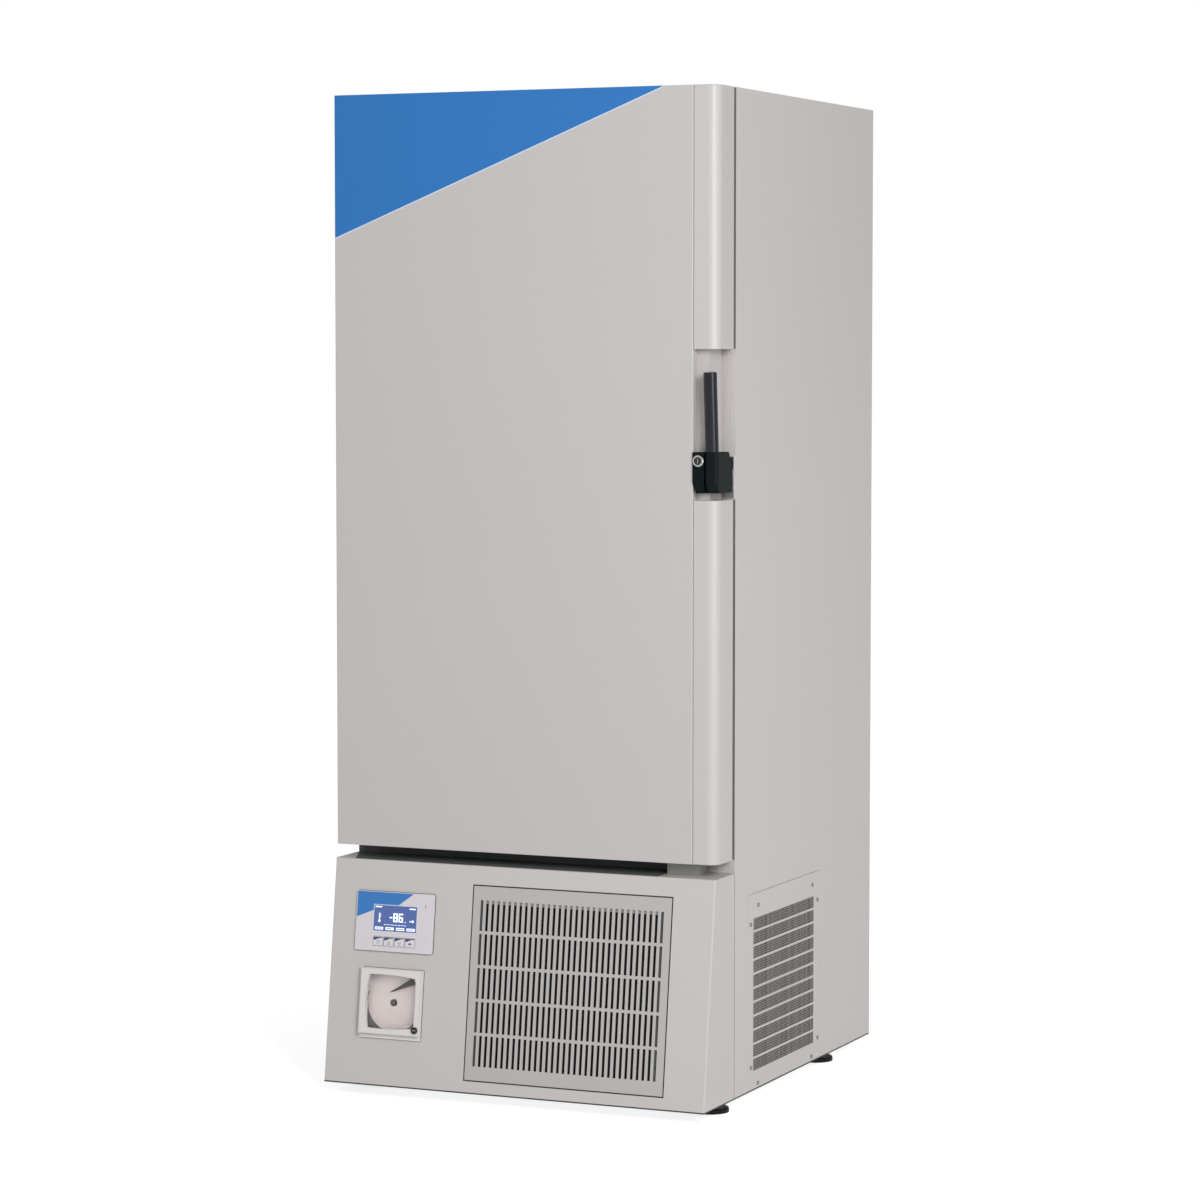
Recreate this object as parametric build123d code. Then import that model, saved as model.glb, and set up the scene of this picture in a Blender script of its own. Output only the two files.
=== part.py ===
"""Upright ultra low temperature freezer: cabinet, insulated door with lever latch, inner doors,
cascade cooling plant in a machine bay, control panel and circular chart recorder.

Pieces are drawn in the cabinet's own frame, in millimetres: X from mid-width (right is plus), Y from
the outer door's front plane to the back, Z up from the floor. They are written moved, so that the
origin lies on the floor at the middle of the whole footprint.
"""

import os
from math import atan2, cos, hypot, radians, sin

from build123d import *

# Cabinet
WIDTH = 790.0
HEIGHT = 1912.0
CABINET_DEPTH = 750.0
SKIN = 1.2
SKIN_RETURN = 14.0
BODY_BOTTOM = 25.0
BAY_TOP = 450.0
FIT = 0.3

# Insulation and inner chamber
WALL_SIDE = 98.0
WALL_FLOOR = 110.0
WALL_TOP = 116.0
WALL_BACK = 105.0
LINER_SHEET = 1.0
SEAL_STEP = 17.0
BREAKER_THICK = 8.0
BREAKER_DEPTH = 56.0
COIL_DIA = 9.5
COIL_PASSES = 9
COIL_BEND = 40.0
COIL_INSET = 45.0
TAIL_LENGTH = 24.0

# Shelves and inner doors
SHELF_COUNT = 3
SHELF_SHEET = 1.5
SHELF_LIP = 14.0
SHELF_SIDE_GAP = 4.0
PILASTER_WIDTH = 14.0
PILASTER_THICK = 3.0
PILASTER_INSET = 55.0
CLIP_REACH = 9.0
CLIP_HEIGHT = 6.0
INNER_DOOR_THICK = 25.0
INNER_DOOR_GAP = 8.0
INNER_DOOR_CLEAR = 5.0
INNER_SEAL_THICK = 2.7
INNER_SEAL_WIDTH = 5.0
INNER_PIN_DIA = 6.0
INNER_PIN_INSET = 6.0
INNER_PIN_LENGTH = 9.0
INNER_EAR_THICK = 2.5
INNER_GRIP = (70.0, 24.0, 9.0)
PIN_FIT = 0.08

# Outer door
DOOR_THICK = 78.0
DOOR_TO_CABINET = 12.0
DOOR_GAP_BELOW = 26.0
DOOR_SHEET = 1.0
DOOR_RETURN = 15.0
LEAF_EDGE_RADIUS = 2.5
PLUG_INTO_CABINET = 22.0
PLUG_CLEAR = 8.0
PLUG_WALL = 3.0
PLUG_RADIUS = 10.0
LINER_FLANGE = 2.0
GASKET_WIDTH = 22.0
GASKET_OUT = 4.0
GASKET_GROOVE = (8.0, 2.5)
GASKET_CLEAR = 0.3

# Handle column of the outer door
TRIM_WIDTH = 49.0
TRIM_GROOVE = 0.8
TRIM_WALL = 2.0
TRIM_RADIUS = 21.0
CUTOUT_BOTTOM = 1151.0
CUTOUT_TOP = 1429.0
RECESS_DEPTH = 20.0
RECESS_INSET = 24.5

# Lever latch
BLOCK_BOTTOM = 1164.5
BLOCK_TOP = 1240.0
BLOCK_PROUD = 3.0
LEVER_SHORT = 2.0
LEVER_INSET = 22.0
LEVER_GAP = 0.5
HOUSING_WIDTH = 22.4
HOUSING_CHAMFER = (7.5, 20.0)
PIVOT_Y = 32.0
PIVOT_Z = 1190.0
PIVOT_DIA = 12.0
PIVOT_REACH = 17.0
ROD_DIA = 25.0
ROD_TOP = 1387.0
ROD_Y = 6.0
ROD_LEAN = 4.3
LOCK_DIA = 21.6
LOCK_IN = 37.0
LOCK_Z = 1224.0
LOCK_PROUD = 3.0
LOCK_DEPTH = 17.0
KEEPER_CLEAR = 3.5
KEEPER_PLATE = 4.0

# Outer door hinges
HINGE_OUT = 12.0
HINGE_BARREL = 18.0
HINGE_PIN = 10.0
HINGE_LEAF = 4.0
HINGE_HEIGHT = 90.0
HINGE_LEAF_WIDTH = 52.0
HINGE_EDGE_MARGIN = 115.0
HINGE_COUNT = 3

# Door rest in the gap under the door
REST_WIDTH = 66.0
REST_DEPTH = 34.0
REST_FRONT = 40.0
REST_IN = 50.0
REST_CLEAR = 1.5

# Sloped base front cover
LIP_TOP = 5.0
LIP_BOTTOM = 60.0
COVER_WALL = 2.0
COVER_RADIUS = 3.0

# Front grille, sizes along the slope, S counted down from the cover's top edge
GRILLE_LEFT = 298.0
GRILLE_RIGHT = 85.0
GRILLE_TOP = 38.0
GRILLE_FOOT = 23.5
GRILLE_GAP = 2.5
GRILLE_SHEET = 1.5
GRILLE_RETURN = 13.0
GRILLE_PIVOT = 5.0
GRILLE_PIN = 4.0
SLOT_PITCH = 11.6
SLOT_WIDTH = 5.6
SLOT_ROW_PITCH = 64.0
SLOT_HEIGHT = 58.0
SLOT_SIDE_EDGE = 15.0
SLOT_END_EDGE = 20.0
FILTER_THICK = 9.0
FILTER_SIDE = 20.0
FILTER_HEAD = 31.0
FILTER_FOOT = 10.0

# Control panel
PANEL_LEFT = 53.0
PANEL_TOP = 60.0
PANEL_WIDTH = 165.0
PANEL_HEIGHT = 114.0
PANEL_PROUD = 5.0
PANEL_FACE = 3.0
PANEL_BOX_DEPTH = 30.0
PANEL_BOX_INSET = 6.0
PANEL_BOX_WALL = 2.0
PANEL_CORNER = 3.0
SCREEN_LEFT = 38.0
SCREEN_TOP = 26.0
SCREEN_WIDTH = 91.0
SCREEN_HEIGHT = 49.0
SCREEN_SINK = 0.6
KEY_COUNT = 4
KEY_PITCH = 22.7
KEY_WIDTH = 20.5
KEY_HEIGHT = 17.0
KEY_TOP = 86.5
KEY_TRAVEL = 1.0
KEY_PROUD = 0.5

# Circular chart recorder
RECORDER_LEFT = 72.0
RECORDER_TOP = 206.0
RECORDER_WIDTH = 130.0
RECORDER_HEIGHT = 134.0
RECORDER_FLANGE = 4.0
RECORDER_WALL = 2.0
RECORDER_BOX_INSET = 6.0
RECORDER_DEPTH = 60.0
RECORDER_COVER = 9.0
RECORDER_COVER_GAP = 0.4
RECORDER_EDGE = 3.0
RECORDER_FRAME = 11.0
RECORDER_FOOT = 9.0
RECORDER_BULGE = 6.0
RECORDER_PIN = 2.4
RECORDER_EAR = 1.5
PANE_THICK = 1.5
PANE_LAP = 1.5
CHART_DIA = 104.0
CHART_SINK = 10.0
CHART_SHEET = 1.0
CHART_HUB_DIA = 10.0
PEN_PIVOT_DIA = 8.0
PEN_LENGTH = 58.0
KNOB_DIA = 13.0
KNOB_PROUD = 3.0
KNOB_STEM = 4.4

# Service panels low on both sides
SERVICE_FRONT = 70.0
SERVICE_WIDTH = 385.0
SERVICE_TOP = 400.0
SERVICE_GAP = 0.8
VENT_BANDS = 11
VENT_PITCH = 26.9
VENT_HEIGHT = 22.4
VENT_BOTTOM = 60.0
VENT_WIDTH = 326.0
VENT_MARGIN = 27.0
SCREW_HEAD = 8.0
SCREW_PROUD = 2.2

# Machine bay
BAY_SHEET = 2.0
BAY_FLOOR = 28.0
POST = 30.0
BAY_CLEAR = 2.0
FOOT_DIA = 70.0
FOOT_HEIGHT = 9.0
FOOT_STEM = 12.0
FOOT_NUT = 24.0
FOOT_IN = 43.0
FOOT_FRONT_Y = 78.0
FOOT_REAR_IN = 200.0
GROMMET_DIA = 30.0
GROMMET_HEIGHT = 16.0
GROMMET_SPREAD = (150.0, 120.0)
SHELL_DIA = 176.0
SHELL_HEIGHT = 236.0
COMPRESSOR_X = 145.0
COMPRESSOR_REAR = 370.0
TERMINAL_BOX = (56.0, 26.0, 60.0)
PIPE_DIA = 9.5
PIPE_BEND = 24.0
PIPE_LEVELS = (95.0, 122.0, 146.0, 150.0)
PIPE_BYPASS = 32.0
CONDENSER_INSET = 28.5
CONDENSER_HEIGHT = 340.0
CONDENSER_THICK = 46.0
CONDENSER_Y = 42.0
CONDENSER_BOTTOM = 62.0
FIN_PITCH = 7.0
FIN_SLOT = 3.6
FIN_SLOT_DEPTH = 7.0
HEADER_OUT = 18.0
FAN_MARGIN = 25.0
FAN_BLADES = 5
FAN_TIP_CLEAR = 5.0
FAN_DEPTH = 30.0
FAN_HUB = 70.0
MOTOR_DIA = 92.0
MOTOR_LENGTH = 62.0
SHAFT_DIA = 12.0
EXCHANGER_DIA = 120.0
EXCHANGER_HEIGHT = 300.0
EXCHANGER_IN = 30.0
EXCHANGER_REAR = 105.0
SEPARATOR_DIA = 76.0
SEPARATOR_HEIGHT = 220.0
SEPARATOR_OUT = 10.5
SEPARATOR_REAR = 135.0
DRIER_DIA = 38.0
DRIER_LENGTH = 110.0
DRIER_BACK = 185.0
BOX_WIDTH = 125.0
BOX_DEPTH = 190.0
BOX_HEIGHT = 300.0
BOX_FRONT = 145.0
LOUVRE_COUNT = 9
LOUVRE_PITCH = 26.0
LOUVRE_HEIGHT = 5.0
LOUVRE_WIDTH = 210.0
INLET_WIDTH = 48.0
INLET_HEIGHT = 28.0
INLET_SIDE = 95.0
INLET_Z = 110.0
INLET_SOCKET = (34.0, 20.0, 18.0)

# Values worked out from the sizes above
HALF = WIDTH / 2
CABINET_FRONT = DOOR_THICK + DOOR_TO_CABINET
BACK = CABINET_FRONT + CABINET_DEPTH
DOOR_BOTTOM = BAY_TOP + DOOR_GAP_BELOW
SLOPE = atan2(LIP_BOTTOM - LIP_TOP, BAY_TOP - BODY_BOTTOM)
LINER_HALF = HALF - WALL_SIDE
LINER_BOTTOM = BAY_TOP + WALL_FLOOR
LINER_TOP = HEIGHT - WALL_TOP
SEAL_Y = CABINET_FRONT + BREAKER_DEPTH
LINER_BACK = BACK - WALL_BACK
MOUTH_HALF = LINER_HALF + SEAL_STEP
MOUTH_BOTTOM = LINER_BOTTOM - SEAL_STEP
MOUTH_TOP = LINER_TOP + SEAL_STEP
HOLE_GROW = BREAKER_THICK
TRIM_LEFT = HALF - TRIM_WIDTH
RECESS_X = HALF - RECESS_INSET
HINGE_X = -HALF - HINGE_OUT
HINGE_Y = CABINET_FRONT
SHELF_PITCH = (LINER_TOP - LINER_BOTTOM) / (SHELF_COUNT + 1)
INNER_FRONT = SEAL_Y - FIT - INNER_SEAL_THICK - INNER_DOOR_THICK
INNER_HALF = MOUTH_HALF - INNER_DOOR_CLEAR
INNER_PIN_X = -INNER_HALF + INNER_PIN_INSET
INNER_PIN_Y = INNER_FRONT + INNER_PIN_INSET
LEVER_IN = HALF - LEVER_INSET
BLOCK_REAR = DOOR_THICK - LEVER_SHORT
LOCK_X = HALF - LOCK_IN
REST_RIGHT = HALF - REST_IN
BAY_HALF = HALF - SKIN - BAY_CLEAR
BAY_BACK = BACK - SKIN - BAY_CLEAR
BAY_TOP_OF_FLOOR = BAY_FLOOR + BAY_SHEET
FOOT_X = HALF - FOOT_IN
FOOT_REAR_Y = BACK - FOOT_REAR_IN
COMPRESSOR_Y = BACK - COMPRESSOR_REAR
EXCHANGER_Y = BACK - EXCHANGER_REAR
SEPARATOR_Y = BACK - SEPARATOR_REAR
INLET_X = -HALF + INLET_SIDE
GRILLE_WIDTH = WIDTH - GRILLE_LEFT - GRILLE_RIGHT
GRILLE_HEIGHT = hypot(LIP_BOTTOM - LIP_TOP, BAY_TOP - BODY_BOTTOM) - GRILLE_TOP - GRILLE_FOOT
SLOT_COLUMNS = int((GRILLE_WIDTH - 2 * SLOT_SIDE_EDGE) / SLOT_PITCH) + 1
SLOT_ROWS = int((GRILLE_HEIGHT - 2 * SLOT_END_EDGE) / SLOT_ROW_PITCH)
CONDENSER_WIDTH = GRILLE_WIDTH - 2 * CONDENSER_INSET
FAN_DIA = min(CONDENSER_WIDTH, CONDENSER_HEIGHT) - 2 * FAN_MARGIN
HINGE_REACH = HINGE_OUT + HINGE_BARREL / 2
SHIFT_X = (HINGE_REACH - SCREW_PROUD) / 2
SHIFT_Y = (LIP_BOTTOM - BACK - SCREW_PROUD) / 2

FRONT = Plane(
    origin=(0, -LIP_TOP, BAY_TOP),
    x_dir=(1, 0, 0),
    z_dir=(0, -cos(SLOPE), sin(SLOPE)),
)


# Small makers of plain forms

def block(x, y, z):
    """A box from three (low, high) pairs."""
    size = [b - a for a, b in (x, y, z)]
    middle = [(a + b) / 2 for a, b in (x, y, z)]
    return Pos(*middle) * Box(*size)


def slab(x, s, n):
    """A box on the sloped front: X, distance S down the slope, height N out of it."""
    return FRONT * block(x, (-s[1], -s[0]), n)


def ring(half, bottom, top, grow, y):
    """A rectangular ring around an opening; grow is how wide its band is."""
    outer = block((-half - grow, half + grow), y, (bottom - grow, top + grow))
    return outer - block((-half, half), y, (bottom, top))


def prism_z(points, z0, z1, radius=0.0, corners=()):
    """An outline in XY raised from z0 to z1, with some of its corners rounded."""
    face = make_face(Polyline(*points, close=True))
    if corners:
        picked = [v for v in face.vertices() if any(near(v, points[i]) for i in corners)]
        face = fillet(picked, radius)
    return Pos(0, 0, z0) * extrude(face, z1 - z0)


def near(vertex, point):
    return hypot(vertex.X - point[0], vertex.Y - point[1]) < 1e-6


def prism_x(points, x0, x1):
    """An outline in YZ drawn out from x0 to x1."""
    face = Plane.YZ * make_face(Polyline(*points, close=True))
    return Pos(x0, 0, 0) * extrude(face, x1 - x0)


def rod_x(radius, x, y, z):
    return Pos((x[0] + x[1]) / 2, y, z) * Rot(0, 90, 0) * Cylinder(radius, x[1] - x[0])


def rod_y(radius, x, y, z):
    return Pos(x, (y[0] + y[1]) / 2, z) * Rot(90, 0, 0) * Cylinder(radius, y[1] - y[0])


def rod_z(radius, x, y, z):
    return Pos(x, y, (z[0] + z[1]) / 2) * Cylinder(radius, z[1] - z[0])


def rod_n(radius, x, s, n):
    """A round piece standing square to the sloped front."""
    return FRONT * Pos(x, -s, (n[0] + n[1]) / 2) * Cylinder(radius, n[1] - n[0])


def rod_s(radius, x, s, n):
    """A round piece lying along the sloped front."""
    return FRONT * Pos(x, -sum(s) / 2, n) * Rot(90, 0, 0) * Cylinder(radius, s[1] - s[0])


def tube(points, radius, bend):
    """A round tube along straight runs joined by arcs."""
    path = FilletPolyline(*points, radius=bend)
    return sweep(Plane(origin=path @ 0, z_dir=path % 0) * Circle(radius), path)


def group(pieces):
    return Compound([s for p in pieces for s in p.solids()])


# Cabinet skins

def side_panel(side):
    """Outer side sheet with front and rear returns, notched for the service panel."""
    out = side * HALF
    inn = side * (HALF - SKIN)
    x = (min(out, inn), max(out, inn))
    sheet = block(x, (CABINET_FRONT, BACK), (BODY_BOTTOM, HEIGHT))
    lip = side * (HALF - SKIN_RETURN)
    xr = (min(out, lip), max(out, lip))
    sheet += block(xr, (CABINET_FRONT, CABINET_FRONT + SKIN), (BAY_TOP, HEIGHT))
    sheet += block(xr, (BACK - SKIN, BACK), (BODY_BOTTOM, HEIGHT))
    y0 = CABINET_FRONT + SERVICE_FRONT
    notch = block(
        (min(out, inn) - 1, max(out, inn) + 1),
        (y0, y0 + SERVICE_WIDTH),
        (BODY_BOTTOM - 1, SERVICE_TOP),
    )
    return sheet - notch


def top_panel():
    x = HALF - SKIN
    sheet = block((-x, x), (CABINET_FRONT + SKIN, BACK - SKIN), (HEIGHT - SKIN, HEIGHT))
    for y0 in (CABINET_FRONT + SKIN, BACK - 2 * SKIN):
        sheet += block((-x, x), (y0, y0 + SKIN), (HEIGHT - SKIN_RETURN, HEIGHT))
    return sheet


def back_panel():
    x = HALF - SKIN_RETURN
    return block((-x, x), (BACK - SKIN, BACK), (BAY_TOP, HEIGHT))


def front_frame():
    """Painted steel face of the cabinet round the opening, turned in at the hole."""
    x = HALF - SKIN_RETURN
    hole = MOUTH_HALF + HOLE_GROW
    low = MOUTH_BOTTOM - HOLE_GROW
    high = MOUTH_TOP + HOLE_GROW
    y = (CABINET_FRONT, CABINET_FRONT + SKIN)
    face = block((-x, x), y, (BAY_TOP, HEIGHT))
    face -= block((-hole, hole), y, (low, high))
    return face + ring(hole, low, high, SKIN, (CABINET_FRONT, CABINET_FRONT + SKIN_RETURN))


def breaker_strip():
    """Plastic collar between the painted face and the cold liner."""
    return ring(MOUTH_HALF, MOUTH_BOTTOM, MOUTH_TOP, BREAKER_THICK, (CABINET_FRONT, SEAL_Y))


# Inner chamber

def ear_levels():
    """Heights of the plates that carry the inner doors' pins."""
    low = LINER_BOTTOM - SEAL_STEP + INNER_DOOR_GAP / 2
    levels = [LINER_BOTTOM + i * SHELF_PITCH for i in range(1, SHELF_COUNT + 1)]
    high = LINER_TOP + SEAL_STEP - INNER_DOOR_GAP / 2
    return [low] + levels + [high]


def inner_liner():
    """Stainless tank with a front flange, and the pin plates welded to it."""
    t = LINER_SHEET
    tank = block(
        (-LINER_HALF - t, LINER_HALF + t),
        (SEAL_Y, LINER_BACK + t),
        (LINER_BOTTOM - t, LINER_TOP + t),
    )
    tank += ring(
        LINER_HALF, LINER_BOTTOM, LINER_TOP, SEAL_STEP + BREAKER_THICK, (SEAL_Y, SEAL_Y + t)
    )
    tank -= block(
        (-LINER_HALF, LINER_HALF), (SEAL_Y - 1, LINER_BACK), (LINER_BOTTOM, LINER_TOP)
    )
    half_ear = INNER_EAR_THICK / 2
    reach = INNER_PIN_DIA / 2 + 2
    x = (INNER_PIN_X - reach, INNER_PIN_X + reach + 2)
    levels = ear_levels()
    for i, z in enumerate(levels):
        tank += block(x, (INNER_PIN_Y - reach, SEAL_Y), (z - half_ear, z + half_ear))
        down = z if i == 0 else z - INNER_PIN_LENGTH
        up = z if i == len(levels) - 1 else z + INNER_PIN_LENGTH
        tank += rod_z(INNER_PIN_DIA / 2, INNER_PIN_X, INNER_PIN_Y, (down, up))
    return tank


def shelf_supports():
    """Four slotted uprights in the liner, with a clip under each shelf corner."""
    pieces = []
    for side in (-1, 1):
        wall = side * LINER_HALF
        face = side * (LINER_HALF - PILASTER_THICK)
        tip = side * (LINER_HALF - PILASTER_THICK - CLIP_REACH)
        for y in (SEAL_Y + PILASTER_INSET, LINER_BACK - PILASTER_INSET):
            ys = (y - PILASTER_WIDTH / 2, y + PILASTER_WIDTH / 2)
            post = block((min(wall, face), max(wall, face)), ys, (LINER_BOTTOM, LINER_TOP))
            for i in range(1, SHELF_COUNT + 1):
                z = LINER_BOTTOM + i * SHELF_PITCH - SHELF_SHEET
                post += block((min(face, tip), max(face, tip)), ys, (z - CLIP_HEIGHT, z))
            pieces.append(post)
    return group(pieces)


def shelves():
    """Stainless shelves with turned down front and rear lips."""
    half = LINER_HALF - PILASTER_THICK - SHELF_SIDE_GAP / 2
    y = (SEAL_Y + LINER_SHEET + 12, LINER_BACK - 12)
    pieces = []
    for i in range(1, SHELF_COUNT + 1):
        z = LINER_BOTTOM + i * SHELF_PITCH
        plate = block((-half, half), y, (z - SHELF_SHEET, z))
        for y0 in (y[0], y[1] - SHELF_SHEET):
            plate += block((-half, half), (y0, y0 + SHELF_SHEET), (z - SHELF_LIP, z))
        pieces.append(plate)
    return group(pieces)


def inner_door(i):
    """One insulated inner door with its seal, pin holes and finger recess."""
    levels = ear_levels()
    z0 = levels[i] + INNER_DOOR_GAP / 2
    z1 = levels[i + 1] - INNER_DOOR_GAP / 2
    y1 = INNER_FRONT + INNER_DOOR_THICK
    leaf = block((-INNER_HALF, INNER_HALF), (INNER_FRONT, y1), (z0, z1))
    leaf = fillet(leaf.edges().filter_by(Axis.Z), 3)
    depth = INNER_PIN_LENGTH - INNER_DOOR_GAP / 2 + 2
    bore = INNER_PIN_DIA / 2 + PIN_FIT
    leaf -= rod_z(bore, INNER_PIN_X, INNER_PIN_Y, (z0 - 1, z0 + depth))
    leaf -= rod_z(bore, INNER_PIN_X, INNER_PIN_Y, (z1 - depth, z1 + 1))
    grip_w, grip_h, grip_d = INNER_GRIP
    right = INNER_HALF - 20
    middle = (z0 + z1) / 2
    leaf -= block(
        (right - grip_h, right),
        (INNER_FRONT - 1, INNER_FRONT + grip_d),
        (middle - grip_w / 2, middle + grip_w / 2),
    )
    inset = INNER_PIN_INSET
    seal_x = (-INNER_HALF + inset, INNER_HALF - inset)
    seal_z = (z0 + inset, z1 - inset)
    ys = (y1, y1 + INNER_SEAL_THICK)
    seal = block(seal_x, ys, seal_z)
    w = INNER_SEAL_WIDTH
    seal -= block((seal_x[0] + w, seal_x[1] - w), ys, (seal_z[0] + w, seal_z[1] - w))
    return group([leaf, seal])


def insulation_foam(others):
    """Foam fills what the skins, collar and liner leave, with a flat pocket for the coil."""
    x = HALF - SKIN
    foam = block((-x, x), (CABINET_FRONT + SKIN, BACK - SKIN), (BAY_TOP, HEIGHT - SKIN))
    half = MOUTH_HALF + HOLE_GROW
    foam -= block(
        (-half, half),
        (CABINET_FRONT, SEAL_Y + LINER_SHEET),
        (MOUTH_BOTTOM - HOLE_GROW, MOUTH_TOP + HOLE_GROW),
    )
    t = LINER_SHEET
    foam -= block(
        (-LINER_HALF - t, LINER_HALF + t),
        (SEAL_Y, coil_y() + COIL_DIA / 2 + FIT),
        (LINER_BOTTOM - t, LINER_TOP + t),
    )
    tail = COIL_DIA / 2 + 2 * FIT
    for side in (-1, 1):
        x, y = side * tail_x(), coil_y()
        foam -= block((x - tail, x + tail), (y - tail, y + tail), (BAY_TOP, LINER_BOTTOM))
    for other in others:
        foam -= other
    return foam


# Outer door

def door_outline(t):
    """Plan of the door body, t inside the skin: leaf, step back for the handle, rear."""
    return [
        (-HALF + t, DOOR_THICK - t),
        (-HALF + t, t),
        (TRIM_LEFT - t, t),
        (TRIM_LEFT - t, RECESS_DEPTH + t),
        (RECESS_X - t, RECESS_DEPTH + t),
        (RECESS_X - t, DOOR_THICK - t),
    ]


def door_rear_window(y):
    return block(
        (-HALF + DOOR_RETURN, RECESS_X - DOOR_RETURN),
        y,
        (DOOR_BOTTOM + DOOR_RETURN, HEIGHT - DOOR_RETURN),
    )


def door_skin():
    t = DOOR_SHEET
    pan = prism_z(door_outline(0), DOOR_BOTTOM, HEIGHT, LEAF_EDGE_RADIUS, (1, 2))
    pan -= prism_z(door_outline(t), DOOR_BOTTOM + t, HEIGHT - t)
    return pan - door_rear_window((DOOR_THICK - 2 * t, DOOR_THICK + t))


def plug(inset, y):
    half = MOUTH_HALF - PLUG_CLEAR - inset
    z = (MOUTH_BOTTOM + PLUG_CLEAR + inset, MOUTH_TOP - PLUG_CLEAR - inset)
    form = block((-half, half), y, z)
    return fillet(form.edges().filter_by(Axis.Y), PLUG_RADIUS - inset)


def door_liner():
    """Moulded rear face of the door, with the plug that enters the cabinet's mouth."""
    margin = DOOR_RETURN / 3
    y1 = DOOR_THICK + LINER_FLANGE
    end = CABINET_FRONT + PLUG_INTO_CABINET
    tray = block(
        (-HALF + margin, RECESS_X - margin),
        (DOOR_THICK, y1),
        (DOOR_BOTTOM + margin, HEIGHT - margin),
    )
    tray += plug(0, (DOOR_THICK, end))
    return tray - plug(PLUG_WALL, (DOOR_THICK - 1, end - PLUG_WALL))


def door_foam():
    t = DOOR_SHEET
    foam = prism_z(door_outline(t), DOOR_BOTTOM + t, HEIGHT - t)
    foam += door_rear_window((DOOR_THICK - 2 * t, DOOR_THICK))
    end = CABINET_FRONT + PLUG_INTO_CABINET - PLUG_WALL
    return foam + plug(PLUG_WALL, (DOOR_THICK - 2 * t, end))


def door_gasket():
    reach = HOLE_GROW + GASKET_OUT
    y = (DOOR_THICK + LINER_FLANGE, CABINET_FRONT - GASKET_CLEAR)
    gasket = ring(MOUTH_HALF + reach, MOUTH_BOTTOM - reach, MOUTH_TOP + reach, GASKET_WIDTH, y)
    wide, deep = GASKET_GROOVE
    reach += (GASKET_WIDTH - wide) / 2
    y = (y[1] - deep, y[1] + 1)
    return gasket - ring(MOUTH_HALF + reach, MOUTH_BOTTOM - reach, MOUTH_TOP + reach, wide, y)


def handle_trim(z0, z1):
    """Folded cover that wraps the door's right edge above or below the handle."""
    w = TRIM_WALL
    left = TRIM_LEFT + TRIM_GROOVE
    outline = [
        (left, 0),
        (HALF, 0),
        (HALF, DOOR_THICK),
        (RECESS_X, DOOR_THICK),
        (RECESS_X, RECESS_DEPTH),
        (left, RECESS_DEPTH),
    ]
    hollow = [
        (left + w, w),
        (HALF - w, w),
        (HALF - w, DOOR_THICK - w),
        (RECESS_X - w, DOOR_THICK - w),
        (RECESS_X - w, RECESS_DEPTH + w),
        (left + w, RECESS_DEPTH + w),
    ]
    trim = prism_z(outline, z0, z1, TRIM_RADIUS, (1,))
    return trim - prism_z(hollow, z0 + w, z1 - w, TRIM_RADIUS - w, (1,))


# Lever latch

def prism_y(points, y0, y1):
    """An outline in XZ drawn from y1 forward to y0."""
    face = Plane.XZ * make_face(Polyline(*points, close=True))
    return Pos(0, y1, 0) * extrude(face, y1 - y0)


def latch_housing():
    """Fixed latch block, with the side plate and stub that the lever turns on."""
    x0 = TRIM_LEFT + FIT
    x1 = x0 + HOUSING_WIDTH
    cx, cz = HOUSING_CHAMFER
    outline = [
        (x0, BLOCK_TOP),
        (x0, BLOCK_BOTTOM + cz),
        (x0 + cx, BLOCK_BOTTOM),
        (x1, BLOCK_BOTTOM),
        (x1, BLOCK_TOP),
    ]
    body = prism_y(outline, -BLOCK_PROUD, RECESS_DEPTH)
    plate = LEVER_IN - LEVER_GAP
    z = (BLOCK_BOTTOM + 3, BLOCK_TOP - 9)
    body += block((x1 - 1, plate), (RECESS_DEPTH - 7, RECESS_DEPTH), z)
    body += block((RECESS_X, plate), (RECESS_DEPTH - 7, PIVOT_Y + PIVOT_DIA + 12), z)
    body += rod_x(PIVOT_DIA / 2, (plate, plate + PIVOT_REACH), PIVOT_Y, PIVOT_Z)
    bore = LOCK_DIA / 2 - 1.5 + PIN_FIT
    front = -BLOCK_PROUD
    return body - rod_y(bore, LOCK_X, (front - 1, front + LOCK_DEPTH + FIT), LOCK_Z)


def key_lock():
    front = -BLOCK_PROUD - FIT
    lock = rod_y(LOCK_DIA / 2, LOCK_X, (front - LOCK_PROUD, front), LOCK_Z)
    lock = chamfer(lock.faces().sort_by(Axis.Y)[0].edges(), 0.8)
    lock += rod_y(LOCK_DIA / 2 - 1.5, LOCK_X, (front - 1, -BLOCK_PROUD + LOCK_DEPTH), LOCK_Z)
    slot = block(
        (LOCK_X - 0.8, LOCK_X + 0.8),
        (front - LOCK_PROUD - 1, front),
        (LOCK_Z - 4.5, LOCK_Z + 4.5),
    )
    return lock - slot


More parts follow.
